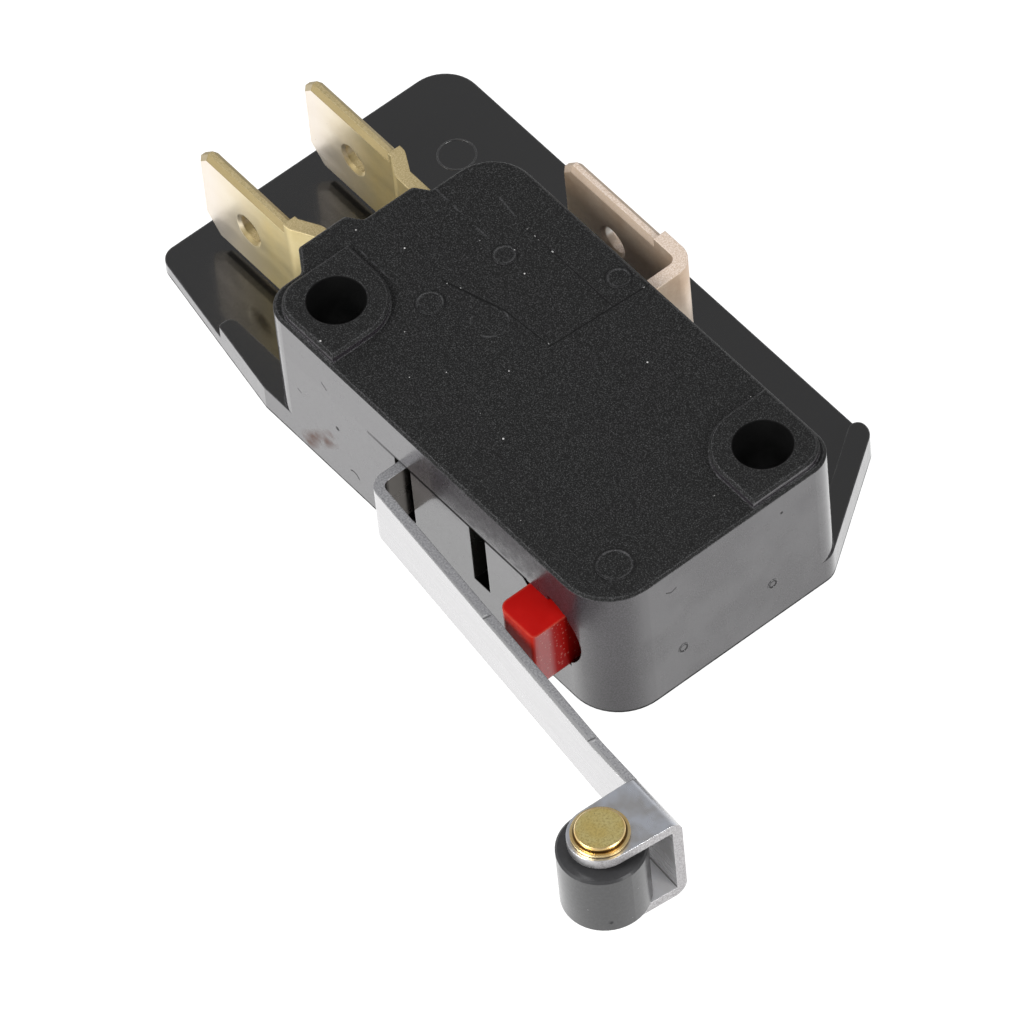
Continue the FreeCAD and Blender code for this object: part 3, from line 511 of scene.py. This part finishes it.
# %% Where the gloss is worn
corner = spread(tree, times(tree, nx, calc(tree, "MULTIPLY", ny, -1.0)), 0.10, 0.50)
above_seam = times(tree, on_lever_wall, spread_mm(tree, pz, seam + 0.15, seam + 0.35), spread_mm(tree, px, 9.0, 11.5))
patches = grain_at(tree, place, 2.0, 3.0)[1]
rubbed_spot = (21.6, 8.3, 2.4, 1.4)
walls = joined(tree, [times(tree, on_plunger_wall, 0.16), times(tree, on_lever_wall, 0.05)])
worn = joined(tree, [
    times(tree, walls, spread(tree, patches, 0.42, 0.60)),
    times(tree, above_seam, spread(tree, coarse, 0.35, 0.65, 0.18, 0.42)),
    times(tree, corner, 0.40),
    times(tree, spread(tree, fine, 0.36, 0.66), rest_of(tree, matt), 0.09),
    times(tree, upward, rest_of(tree, high_up), 0.14),
    times(tree, spread(tree, nx, -0.25, -0.45), 0.40),
    times(tree, ring_at(tree, lever_side, *rubbed_spot), on_lever_wall, 0.55)])
marks_and_painted_shade = joined(tree, [bore_shade, contact_shadow_line, hairline, times(tree, marks, 0.85)])
dull = joined(tree, [marks_and_painted_shade, times(tree, thumb_mark, 0.9), worn])
print("worn places joined", len(tree.nodes), "nodes")

# %% [markdown]
# The last step joins everything to the shader. The screw holes, the bottom line, the seam hairline and the wall
# marks lose their gloss and take the darkest black, which in the holes and on the bottom line is painted shade.
# The slot walls are painted a lighter grey as painted light. The cover has the same finish as the case with a
# softer gloss, so it takes a copy of it.

# %% Join the housing finish
slot_from, slot_to = 6.0, 20.0
slot_sides = times(tree, spread(tree, calc(tree, "ABSOLUTE", nx), 0.90, 0.98),
                   spread_mm(tree, px, slot_to, slot_to - 0.2), spread_mm(tree, px, slot_from, slot_from + 0.2),
                   spread_mm(tree, pz, plate_top, plate_top + 0.2))
# The slot walls take a lighter grey as painted light.
slot_painted_light = (0.05, 0.05, 0.045)
colour = painted(tree, colour, [(marks_and_painted_shade, polish_black), (slot_sides, slot_painted_light)])
satin = joined(tree, [matt, dull])
rough = calc(tree, "ADD", spread(tree, coarse, 0.3, 0.7, 0.16, 0.26), times(tree, satin, 0.38))
height = calc(tree, "SUBTRACT", times(tree, fine, spread(tree, matt, 0.0, 1.0, 0.22, 0.8)),
              times(tree, calc(tree, "SUBTRACT", drawing, lint), 2.0))
feed(tree, shader, Base_Color=colour, Roughness=rough, Coat_Weight=rest_of(tree, satin),
     Normal=relief(tree, height, 0.03, 0.5, smooth))
cover_black = housing.copy()
cover_black.name = "black_moulded_cover"
cover_black.node_tree.nodes["Principled BSDF"].inputs["Coat Roughness"].default_value = 0.24
print(housing.name, len(tree.nodes), "nodes, copied with a softer gloss as", cover_black.name)

# %% [markdown]
# The plunger is moulded in red nylon. One even red would look like paint: its side facing the lever is painted
# lighter as painted light and its edges take a painted highlight, faint flow clouds vary the red, and the half of
# its end that the lever rubs is polished, so the clear coat is masked to that half. Fine dust sits where it is
# handled.

# %% Finish: red plunger
plunger_red, tree, shader, place = open_finish("red_plunger_nylon", (0.40, 0.007, 0.005), IOR=1.15,
                                               Coat_IOR=1.62, Coat_Roughness=0.16)
plunger_tip = corners_mm("plunger")[0][1]
middle_y = plunger_tip + 0.52 * (lever_wall - plunger_tip)
edge_mask, edge_normal = edges_at(tree, place, 0.20, 0.5)
fine, coarse = grain_at(tree, place, 3.0, 5.0)
dust = specks_at(tree, place, 4.6, 0.24, 0.60)
py = parts_of(tree, place)[1]
nx, ny, nz = facing(tree)
# The side facing the lever is painted lighter as painted light, and the edges get a painted highlight.
deep_red, clear_red, lit_red = (0.35, 0.004, 0.003), (0.44, 0.008, 0.006), (0.62, 0.028, 0.016)
edge_highlight_red, dust_pink = (0.82, 0.20, 0.12), (0.8, 0.40, 0.34)
on_end = spread(tree, nx, 0.5, 0.8)
polished = times(tree, on_end, spread_mm(tree, py, middle_y + 0.2, middle_y - 0.2))
handled = joined(tree, [on_end, spread(tree, coarse, 0.50, 0.60)])
colour = painted(tree, mix(tree, spread(tree, coarse, 0.35, 0.65), deep_red, clear_red), [
    (spread(tree, ny, -0.4, -0.8, 0.0, 0.9), lit_red),
    (times(tree, edge_mask, 0.50), edge_highlight_red),
    (times(tree, dust, handled, 0.30), dust_pink)])
feed(tree, shader, Base_Color=colour, Roughness=spread(tree, fine, 0.3, 0.7, 0.26, 0.40),
     Coat_Weight=calc(tree, "ADD", times(tree, polished, 0.94), 0.05),
     Normal=relief(tree, fine, 0.01, 0.25, edge_normal))
print(plunger_red.name, len(tree.nodes), "nodes")

# %% [markdown]
# The lever is bright rolled spring steel. Rolling leaves fine lines along the strip, and shearing leaves a
# rough grey edge on the narrow faces. A painted strip would need its own edge pieces, so here the facing
# decides between lines and speckle. The strip and the bracket are told apart by where they are.

# %% Finish: rolled lever steel
steel, tree, shader, place = open_finish("rolled_lever_steel", (0.66, 0.66, 0.67), metallic=1.0)
bracket_start = 32.2
bracket_end = corners_mm("lever")[1][0]
edge_mask, edge_normal = edges_at(tree, place, 0.08, 0.3)
rolled, rolled_coarse = grain_at(tree, place, 9.0, 3.0, (0.05, 0.35, 1.0))
torn = grain_at(tree, place, 10.0, 4.0)[0]
clouds = grain_at(tree, place, 7.0, 4.0)[1]
px, py, pz = parts_of(tree, place)
nx, ny, nz = facing(tree)
up_face = spread(tree, nz, 0.7, 0.9)
inner_face = spread(tree, ny, 0.6, 0.9)
on_bracket = spread_mm(tree, px, bracket_start, bracket_start + 0.1)
on_strip = spread_mm(tree, px, bracket_start + 0.1, bracket_start)
# The lever's foot near the wall is painted dark brown as painted shade.
leg_front, leg_side = 9.2, -4.9
leg_shade = times(tree, spread_mm(tree, px, leg_front + 0.3, leg_front), spread_mm(tree, py, leg_side, leg_side + 0.4))
print("lever masks", len(tree.nodes), "nodes")

# %% [markdown]
# Shearing rounds one corner of the strip's narrow face: that rolled-over band, painted near white as burnish and
# painted highlight, widens towards the roller. Its place is the depth behind the outer face, which lies on a line
# of known slope. Two nicks, painted dark as shade, each with a painted glint beside it, sit where the strip was
# gripped.

# %% The sheared edge of the strip
strip_start_x, strip_start_y = 9.1, -5.0
strip_slope = math.tan(math.radians(6.0))
band_start_x, band_growth = 10.0, 0.010
outer_face = times(tree, calc(tree, "SUBTRACT", px, strip_start_x * MM), strip_slope)
depth = calc(tree, "ADD", calc(tree, "SUBTRACT", py, strip_start_y * MM), outer_face)
rolled_over = times(tree, calc(tree, "SUBTRACT", px, band_start_x * MM), band_growth)
torn_zone = spread_mm(tree, calc(tree, "SUBTRACT", depth, rolled_over), -0.02, 0.04)
sheared = times(tree, up_face, on_strip, torn_zone)
beside = times(tree, up_face, on_strip, rest_of(tree, torn_zone))
# Each nick is painted dark as shade and has a painted glint beside it.
nick_places, glint_places = [(19.06, -6.02), (28.66, -7.00)], [(18.92, -6.04), (28.80, -7.03)]
nicks = joined(tree, [line_at(tree, place, x, y, 0.08, 0.40, 0.08) for x, y in nick_places])
glints = joined(tree, [line_at(tree, place, x, y, 0.06, 0.30, 0.08) for x, y in glint_places])
print("strip slope", round(strip_slope, 4))

# %% [markdown]
# The bracket is folded from the same strip round the roller. Its inside mirrors only the roller and itself,
# so a plain metal would go black there: the inside is painted pale and kept partly unmetallic as painted light,
# with painted shade in the folds. Its sheared end face is speckled like the strip's edge.

# %% The inside of the bracket
floor_z, roof_z = 2.25, 6.87
end_face = times(tree, on_bracket, spread(tree, nx, 0.6, 0.8))
inside = times(tree, on_bracket, rest_of(tree, end_face), spread_mm(tree, pz, floor_z - 0.1, floor_z),
               spread_mm(tree, pz, roof_z + 0.1, roof_z))
# Painted shade in the folds.
crease_shade = joined(tree, [spread_mm(tree, pz, floor_z + 0.17, floor_z + 0.05),
                       times(tree, inner_face, spread_mm(tree, px, bracket_end - 0.75, bracket_end - 0.25))])
shelf = times(tree, inside, spread(tree, nz, 0.6, 0.8))
print("bracket from", bracket_start, "to", round(bracket_end, 2), "mm")

# %% [markdown]
# The coats of the steel go on in the order of its making: rolled faces, the painted shade of the foot and the
# inner side, sheared edges, the bracket, painted edge highlights, and the nicks last.

# %% Join the lever finish
steel_dark, steel_light, sky_blue = (0.635, 0.630, 0.635), (0.675, 0.670, 0.675), (0.80, 0.83, 0.90)
# The strip's inner side, towards the housing, is painted dark as painted shade.
leg_shade_brown, inner_shade_grey = (0.24, 0.215, 0.19), (0.26, 0.25, 0.24)
torn_light, torn_dark, end_grey = (0.72, 0.72, 0.73), (0.43, 0.43, 0.45), (0.36, 0.345, 0.35)
inside_painted_light, crease_shade_dark = (0.98, 0.97, 0.975), (0.10, 0.09, 0.09)
# The edges get a painted highlight.
band_burnish_and_highlight, edge_highlight_white, nick_shade, glint_white = ((grey, grey, grey) for grey in (0.92, 0.86, 0.10, 0.98))
colour = painted(tree, mix(tree, spread(tree, rolled, 0.35, 0.65), steel_dark, steel_light), [
    (times(tree, up_face, on_bracket, spread(tree, clouds, 0.38, 0.62)), sky_blue),
    (times(tree, leg_shade, 0.85), leg_shade_brown),
    (times(tree, inner_face, on_strip, 0.75), inner_shade_grey),
    (sheared, mix(tree, spread(tree, torn, 0.38, 0.62), torn_light, torn_dark)),
    (times(tree, end_face, spread(tree, torn, 0.40, 0.62, 0.30, 1.0)), end_grey),
    (inside, inside_painted_light),
    (times(tree, inside, crease_shade, rest_of(tree, shelf), 0.75), crease_shade_dark),
    (times(tree, beside, 0.9), band_burnish_and_highlight),
    (times(tree, edge_mask, 0.4), edge_highlight_white),
    (times(tree, nicks, up_face, 0.75), nick_shade),
    (times(tree, glints, up_face, 0.9), glint_white)])
rough_faces = joined(tree, [sheared, end_face])
rough = calc(tree, "ADD", spread(tree, rolled_coarse, 0.3, 0.7, 0.24, 0.32), times(tree, rough_faces, 0.2))
height = calc(tree, "ADD", times(tree, rolled, 0.5), times(tree, torn, rough_faces))
feed(tree, shader, Base_Color=colour, Roughness=rough,
     Metallic=rest_of(tree, joined(tree, [times(tree, inside, 0.75), shelf])),
     Normal=relief(tree, height, 0.010, 0.35, edge_normal))
print(steel.name, len(tree.nodes), "nodes")

# %% [markdown]
# The roller is turned from black acetal. The cutting tool leaves faint rings round its side, so the grain is
# pulled out round the axis. Its side is polished by use, with a few scuffs, and its ends stay as cut: the
# clear coat is held back on both.

# %% Finish: black roller
roller_black, tree, shader, place = open_finish("black_roller_acetal", (0.016, 0.016, 0.018), IOR=1.30,
                                                Coat_IOR=1.75, Coat_Roughness=0.20)
edge_normal = edges_at(tree, place, 0.05, 0.5)[1]
tool_rings = grain_at(tree, place, 5.0, 3.0, (0.05, 0.05, 1.0))[0]
fine, coarse = grain_at(tree, place, 5.0, 4.0)
dust = specks_at(tree, place, 2.4, 0.08, 0.22)
scuffs = times(tree, specks_at(tree, place, 1.2, 0.16, 0.12), spread(tree, fine, 0.50, 0.58))
end_up = spread(tree, facing(tree)[2], 0.2, 0.6)
acetal_dark, acetal_light, cut_grey = (0.006, 0.006, 0.007), (0.022, 0.022, 0.024), (0.055, 0.055, 0.057)
speck_grey = (0.30, 0.30, 0.30)
colour = painted(tree, mix(tree, spread(tree, fine, 0.4, 0.7), acetal_dark, acetal_light), [
    (times(tree, end_up, 0.6), cut_grey),
    (times(tree, dust, 0.7), speck_grey)])
feed(tree, shader, Base_Color=colour,
     Roughness=calc(tree, "ADD", spread(tree, coarse, 0.3, 0.7, 0.26, 0.36), times(tree, end_up, 0.2)),
     Coat_Weight=calc(tree, "SUBTRACT", 0.78, times(tree, joined(tree, [end_up, scuffs]), 0.66)),
     Normal=relief(tree, calc(tree, "ADD", tool_rings, fine), 0.010, 0.3, edge_normal))
print(roller_black.name, len(tree.nodes), "nodes")

# %% [markdown]
# The strips differ in age and polish: the two end tabs are rolled brass with punched edges, the common
# terminal has tarnished to a coppery brown, and the inner parts are clean. Five separate materials would
# repeat one tree, so one helper makes them all, with the colour, the tarnish and the roughness as its values.


# %% Helper: rolled or turned metal
def metal_finish(name, bright, tarnish, amount, rough, lines=(1.0, 1.0, 1.0), edge_highlight_colour=(0.95, 0.86, 0.62),
                 film=0.0, top=None, painted_sheen=None, bore=None):
    """Metal with a grain along its lines, tarnish and painted edge highlights. film is the share of matt oxide. top
    is (light, dark) for the punched upper edge. The painted sheen is (colour, from mm, to mm, axis, more film), a
    colour that grows along one axis, and bore is (x, z, diameter) of a hole whose wall is painted pale as a painted
    reflection."""
    made, tree, shader, place = open_finish(name, bright, metallic=1.0 - film)
    coordinates = parts_of(tree, place)
    nx, ny, nz = facing(tree)
    edge_mask, edge_normal = edges_at(tree, place, 0.09, 0.4)
    fine, coarse = grain_at(tree, place, 6.0, 4.0, lines)
    mottle = grain_at(tree, place, 13.0, 4.0)[0]
    stains = put(tree, "TexNoise", {"Vector": place, "Scale": 420.0, "Detail": 6.0, "Roughness": 0.6}).outputs[0]
    spots = specks_at(tree, place, 2.4, 0.08, 0.08)
    dull = times(tree, spread(tree, stains, 0.40, 0.66), amount)
    rough_now = calc(tree, "ADD", spread(tree, coarse, 0.3, 0.7, rough, rough + 0.12), times(tree, dull, 0.12))
    colour = painted(tree, mix(tree, times(tree, fine, 0.35), bright, tarnish), [
        (dull, tarnish), (times(tree, spread(tree, mottle, 0.45, 0.65), amount, 0.6), tarnish)])
    # A painted sheen grows along one axis.
    if painted_sheen is not None:
        sheen_colour, sheen_from, sheen_to, axis, more_film = painted_sheen
        sheen_mask = spread_mm(tree, coordinates[axis], sheen_from, sheen_to)
        colour = mix(tree, times(tree, sheen_mask, 0.9), colour, sheen_colour)
        metal = calc(tree, "SUBTRACT", 1.0 - film, times(tree, sheen_mask, more_film))
        # A bore wall is painted pale as a painted reflection.
        if bore is not None:
            bore_x, bore_z, diameter = bore
            in_wall = spread(tree, calc(tree, "ABSOLUTE", ny), 0.5, 0.3)
            in_bore = ring_at(tree, turned(tree, coordinates[0], coordinates[2]), bore_x, bore_z, diameter, 0.02)
            bore_sheen = times(tree, in_bore, in_wall)
            bore_sheen_pale = (1.0, 0.97, 0.92)
            colour = mix(tree, bore_sheen, colour, bore_sheen_pale)
            metal = calc(tree, "SUBTRACT", metal, times(tree, bore_sheen, 0.35), clamp=True)
            rough_now = calc(tree, "SUBTRACT", rough_now, times(tree, bore_sheen, 0.18))
        feed(tree, shader, Metallic=metal)
    colour = mix(tree, times(tree, spots, 0.6), colour, tuple(c * 0.35 for c in tarnish))
    # Edges get a painted highlight.
    if top is None:
        colour = mix(tree, times(tree, edge_mask, 0.5), colour, edge_highlight_colour)
    else:
        top_light, top_dark = top
        punched = spread(tree, nz, 0.3, 0.6)
        bevelled = times(tree, punched, spread(tree, nz, 0.95, 0.80, 0.0, 0.85))
        colour = painted(tree, colour, [
            (times(tree, edge_mask, 0.4), edge_highlight_colour),
            (punched, mix(tree, spread(tree, mottle, 0.36, 0.64), top_light, top_dark)),
            (bevelled, tuple(c * 0.62 for c in top_dark))])
        rough_now = calc(tree, "ADD", rough_now, times(tree, punched, 0.22))
    feed(tree, shader, Base_Color=colour, Roughness=rough_now,
         Normal=relief(tree, calc(tree, "ADD", fine, mottle), 0.010, 0.3, edge_normal))
    print(name, len(tree.nodes), "nodes")
    return made


print("metal helper ready")

# %% [markdown]
# The tabs were rolled along their length, so their grain is drawn out that way. The brass ones are painted
# paler towards their tips and the common terminal towards its foot, as a painted sheen. A wash of colour along
# one axis gives that with one mask, where a painted image would need the folded strip to be laid flat first.

# %% Finish: tabs, contacts and springs
pulled_along = (0.12, 0.5, 1.0)
tab_brass = metal_finish(
    "rolled_tab_brass", (0.85, 0.72, 0.40), (0.78, 0.62, 0.28), 0.7, 0.26, pulled_along, film=0.30,
    top=((0.66, 0.55, 0.32), (0.46, 0.36, 0.17)), painted_sheen=((0.92, 0.84, 0.76), -8.5, -13.5, 0, 0.0))
tab_copper = metal_finish(
    "tarnished_common_terminal", (0.93, 0.76, 0.59), (0.67, 0.48, 0.33), 0.8, 0.30, pulled_along,
    edge_highlight_colour=(0.97, 0.88, 0.78), film=0.55, top=((0.90, 0.79, 0.71), (0.64, 0.49, 0.36)),
    painted_sheen=((1.0, 0.90, 0.81), 7.0, 2.0, 2, 0.45), bore=(3.2, 4.95, 2.0))
silver = metal_finish("contact_silver", (0.86, 0.85, 0.82), (0.55, 0.53, 0.48), 0.4, 0.25,
                      edge_highlight_colour=(0.95, 0.94, 0.92))
spring_brass = metal_finish("spring_brass_strip", (0.78, 0.60, 0.32), (0.55, 0.38, 0.17), 0.5, 0.28,
                            (0.15, 1.0, 1.0))
spring_wire = metal_finish("drawn_spring_wire", (0.60, 0.60, 0.62), (0.36, 0.36, 0.38), 0.4, 0.24,
                           edge_highlight_colour=(0.8, 0.8, 0.82))
print("five metals ready")

# %% [markdown]
# The pin is a turned brass rivet. Its flat head has gone olive brown, while the rounded rims are bright from
# rubbing. The groove under the head and the foot of the flange are painted dark brown as painted shade. All of
# these are rings round one axis, so heights below the pin's top, together with discs about its centre, tell them
# apart.

# %% Finish: roller pin
pin_brass, tree, shader, place = open_finish("turned_pin_brass", (0.94, 0.72, 0.34), metallic=1.0)
pin_x, pin_y = 33.913, -10.498
pin_top = corners_mm("roller_pin")[1][2]
head_width, groove_width = 2.36, 2.76
pz = parts_of(tree, place)[2]
edge_normal = edges_at(tree, place, 0.07, 0.2)[1]
fine, coarse = grain_at(tree, place, 8.0, 5.0)
spots = specks_at(tree, place, 3.0, 0.09, 0.12)
face_zone = times(tree, spread_mm(tree, pz, pin_top - 0.05, pin_top - 0.01),
                  ring_at(tree, place, pin_x, pin_y, head_width, 0.08))
groove_zone = times(tree, spread_mm(tree, pz, pin_top - 0.32, pin_top - 0.28),
                    spread_mm(tree, pz, pin_top - 0.16, pin_top - 0.22),
                    ring_at(tree, place, pin_x, pin_y, groove_width, 0.05))
foot_zone = spread_mm(tree, pz, pin_top - 0.40, pin_top - 0.44)
olive_light, olive_dark, olive_spot = (0.98, 0.84, 0.38), (0.88, 0.70, 0.26), (0.62, 0.47, 0.16)
rim_light, rim_dark = (0.96, 0.76, 0.40), (0.84, 0.60, 0.26)
# The groove and the flange's foot are painted dark brown as painted shade.
groove_shade, spot_brown = (0.10, 0.055, 0.020), (0.28, 0.18, 0.07)
head = mix(tree, spread(tree, fine, 0.45, 0.70),
           mix(tree, spread(tree, coarse, 0.40, 0.60), olive_light, olive_dark), olive_spot)
colour = painted(tree, mix(tree, spread(tree, coarse, 0.35, 0.65), rim_light, rim_dark), [
    (face_zone, head),
    (times(tree, joined(tree, [groove_zone, foot_zone]), 0.92), groove_shade),
    (times(tree, spots, face_zone, 0.6), spot_brown)])
feed(tree, shader, Base_Color=colour,
     Roughness=calc(tree, "ADD", spread(tree, coarse, 0.3, 0.7, 0.24, 0.32), times(tree, face_zone, 0.12)),
     Normal=relief(tree, fine, 0.012, 0.4, edge_normal))
print(pin_brass.name, len(tree.nodes), "nodes")

# %% [markdown]
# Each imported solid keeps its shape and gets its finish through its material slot, which is all that a packed
# solid may be given.

# %% Put the finishes on the solids
finish_of = {
    "case": housing, "cover": cover_black, "plunger": plunger_red, "lever": steel, "roller": roller_black,
    "roller_pin": pin_brass, "common_terminal": tab_copper, "normally_closed_terminal": tab_brass,
    "normally_open_terminal": tab_brass, "normally_closed_contact": silver, "normally_open_contact": silver,
    "moving_contact": silver, "contact_arm": spring_brass, "swing_lever": spring_brass, "snap_spring": spring_wire,
}
for name, finish in finish_of.items():
    for slot in nodes[name].material_slots:
        slot.material = finish
print("finished solids", len(finish_of), "of", len(nodes))

# %% [markdown]
# Ejector pins and the ends of the mould's inserts leave low round rims. A torus from Blender's menu would
# hide half of itself in the plastic. Each rim is worked out instead as a grid of two parameters: one runs
# round the circle, the other over a half-round profile whose foot stands a little in the face.


# %% Shape of a raised rim
def rim_grid(centre, across, up, radius, width, rise, steps=40, profile=7):
    """Points = centre + (radius + half width times cos b) in direction a + rise times sin b along up."""
    centre, across, up = (np.array(v, float) for v in (centre, across, up))
    other = np.cross(up, across)
    foot_angle = 0.35
    a = np.linspace(0, 2 * np.pi, steps, endpoint=False)[:, None, None]
    b = np.linspace(-foot_angle, np.pi + foot_angle, profile)[None, :, None]
    direction = np.cos(a) * across + np.sin(a) * other
    return centre + direction * (radius + width / 2 * np.cos(b)) + up * rise * np.sin(b)


def ring_faces(rows, columns, first):
    """Quads of a grid that is closed round its rows; index = first + row * columns + column."""
    r, c = np.meshgrid(np.arange(rows), np.arange(columns - 1), indexing="ij")
    here = first + r * columns + c
    there = first + (r + 1) % rows * columns + c
    return np.stack([here, here + 1, there + 1, there], axis=-1).reshape(-1, 4)


print("rim shape ready")

# %% [markdown]
# The rims of one face become one piece, because they came out of one mould. They ride on the housing's body,
# since they are part of its plastic. They are far lower than the hole pads, so the part keeps its size.


# %% Raised rims left by the mould
def in_scene(name, data):
    """New object for a mesh, a lamp or a camera, linked into the scene."""
    made = bpy.data.objects.new(name, data)
    bpy.context.scene.collection.objects.link(made)
    return made


def add_piece(name, points, faces, body, finish):
    """Mesh object from millimetre points, riding on a body."""
    mesh = bpy.data.meshes.new(name)
    mesh.from_pydata((points * MM).tolist(), [], faces.tolist())
    mesh.polygons.foreach_set("use_smooth", np.ones(len(faces), bool))
    mesh.update()
    mesh.materials.append(finish)
    made = in_scene(name, mesh)
    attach(made, body)
    print(name, len(points), "points", len(faces), "faces")


def rims(name, places, across, up, width, rise):
    """Several rims on one face as one piece; places are (centre, radius)."""
    grids = [rim_grid(centre, across, up, radius, width, rise) for centre, radius in places]
    points = np.concatenate([g.reshape(-1, 3) for g in grids])
    counts = np.cumsum([0] + [g.shape[0] * g.shape[1] for g in grids])
    faces = np.concatenate([ring_faces(g.shape[0], g.shape[1], n) for g, n in zip(grids, counts)])
    add_piece(name, points, faces, "housing", housing)


along_x, along_y, along_z = (1, 0, 0), (0, 1, 0), (0, 0, 1)
wall_rim_radius = 0.30
plate_mark, plate_rim_radius = (-9.65, 15.15, plate_top), 1.05
rims("cover_mould_rims", [((x, y, cover_top), r) for x, y, r in pin_marks], along_x, along_z, 0.16, 0.035)
rims("end_wall_mould_rims", [((plunger_wall, y, z), wall_rim_radius) for y, z, r in wall_pins],
     along_y, along_x, 0.10, 0.03)
rims("plate_mould_rim", [(plate_mark, plate_rim_radius)], along_x, along_z, 0.12, 0.03)

# %% [markdown]
# The switch stands on white in soft light. More lamp power would whiten the floor but wash out the black
# plastic. The floor shows white to the camera and in reflections instead, and still takes the switch's
# shadow, because a part of its brightness is lit. The sky is bright low down, where walls mirror it.

# %% Floor and sky
white, tree, shader, place = open_finish("studio_white", (0.16, 0.16, 0.16), Roughness=1.0,
                                         Specular_IOR_Level=0.0, Emission_Color=(1.0, 1.0, 1.0, 1.0))
ray = put(tree, "LightPath").outputs
seen = joined(tree, [ray["Is Camera Ray"], ray["Is Glossy Ray"], ray["Is Transmission Ray"]])
feed(tree, shader, Emission_Strength=seen)
reach, below = 2.5, -0.02
floor_mesh = bpy.data.meshes.new("studio_floor")
floor_mesh.from_pydata([(-reach, -reach, 0), (reach, -reach, 0), (reach, reach, 0), (-reach, reach, 0)], [],
                       [(0, 1, 2, 3)])
floor_mesh.materials.append(white)
floor = in_scene("studio_floor", floor_mesh)
floor.location.z = below * MM

world = bpy.data.worlds.new("soft_studio")
bpy.context.scene.world = world
world.use_nodes = True
tree = world.node_tree
upwards = parts_of(tree, put(tree, "TexCoord").outputs["Generated"])[2]
horizon, overhead = (0.95, 0.95, 0.95), (0.37, 0.37, 0.375)
sky = mix(tree, spread(tree, upwards, 0.05, 0.55), horizon, overhead)
tree.links.new(sky, tree.nodes["Background"].inputs["Color"])
print("floor and sky ready")

# %% [markdown]
# One large softbox above the lever side is the key, and a smaller one fills from the plunger end. Neither
# stands where the cover's top would mirror it into the camera, so the black top stays black. Lamps and the
# camera are placed by their own three directions, which is exact where turning by angles would be trial.


# %% Softboxes
def set_pose(made, side, up, back, place):
    """The columns of an object's matrix are its own X, Y and Z directions and its place, in metres."""
    made.matrix_world = Matrix(np.column_stack([side, up, back, place]).tolist() + [[0, 0, 0, 1]])


def softbox(name, place, aim, size, power):
    """Square area lamp at place, turned so that its -Z looks at aim; metres and watts."""
    lamp = bpy.data.lights.new(name, "AREA")
    lamp.shape = "SQUARE"
    lamp.size = size
    lamp.energy = power
    look = np.array(place, float) - np.array(aim, float)
    look /= np.linalg.norm(look)
    side = np.cross((0, 0, 1), look)
    side /= np.linalg.norm(side)
    set_pose(in_scene(name, lamp), side, np.cross(look, side), look, place)


middle = (0.010, 0.004, 0.005)
softbox("key_softbox", (-0.10, -0.55, 0.55), middle, 0.35, 5.0)
softbox("fill_softbox", (0.62, 0.15, 0.45), middle, 0.30, 2.5)

# %% [markdown]
# The camera repeats the photograph's viewing angle: a long lens, so that parallel edges stay nearly
# parallel, looking down past the plunger end. Its directions were worked out from the switch's known sizes.

# %% Camera
camera_data = bpy.data.cameras.new("photo_camera")
camera_data.sensor_width = 36.0
camera_data.lens = 407.9
camera_data.clip_start = 0.01
camera_data.clip_end = 20.0
camera = in_scene("photo_camera", camera_data)
right = np.array((0.63355, 0.77095, -0.06515))
down = np.array((0.58734, -0.53405, -0.60813))
forward = np.array((-0.50360, 0.34700, -0.79120))
camera_place = (0.31598, -0.20813, 0.48018)
set_pose(camera, right, -down, -forward, camera_place)
bpy.context.scene.camera = camera
bpy.context.scene.view_settings.view_transform = "Standard"
print("camera lens", camera_data.lens)

# %% [markdown]
# The dressed switch must keep the size of the imported one.

# %% The end
print("scene ready")
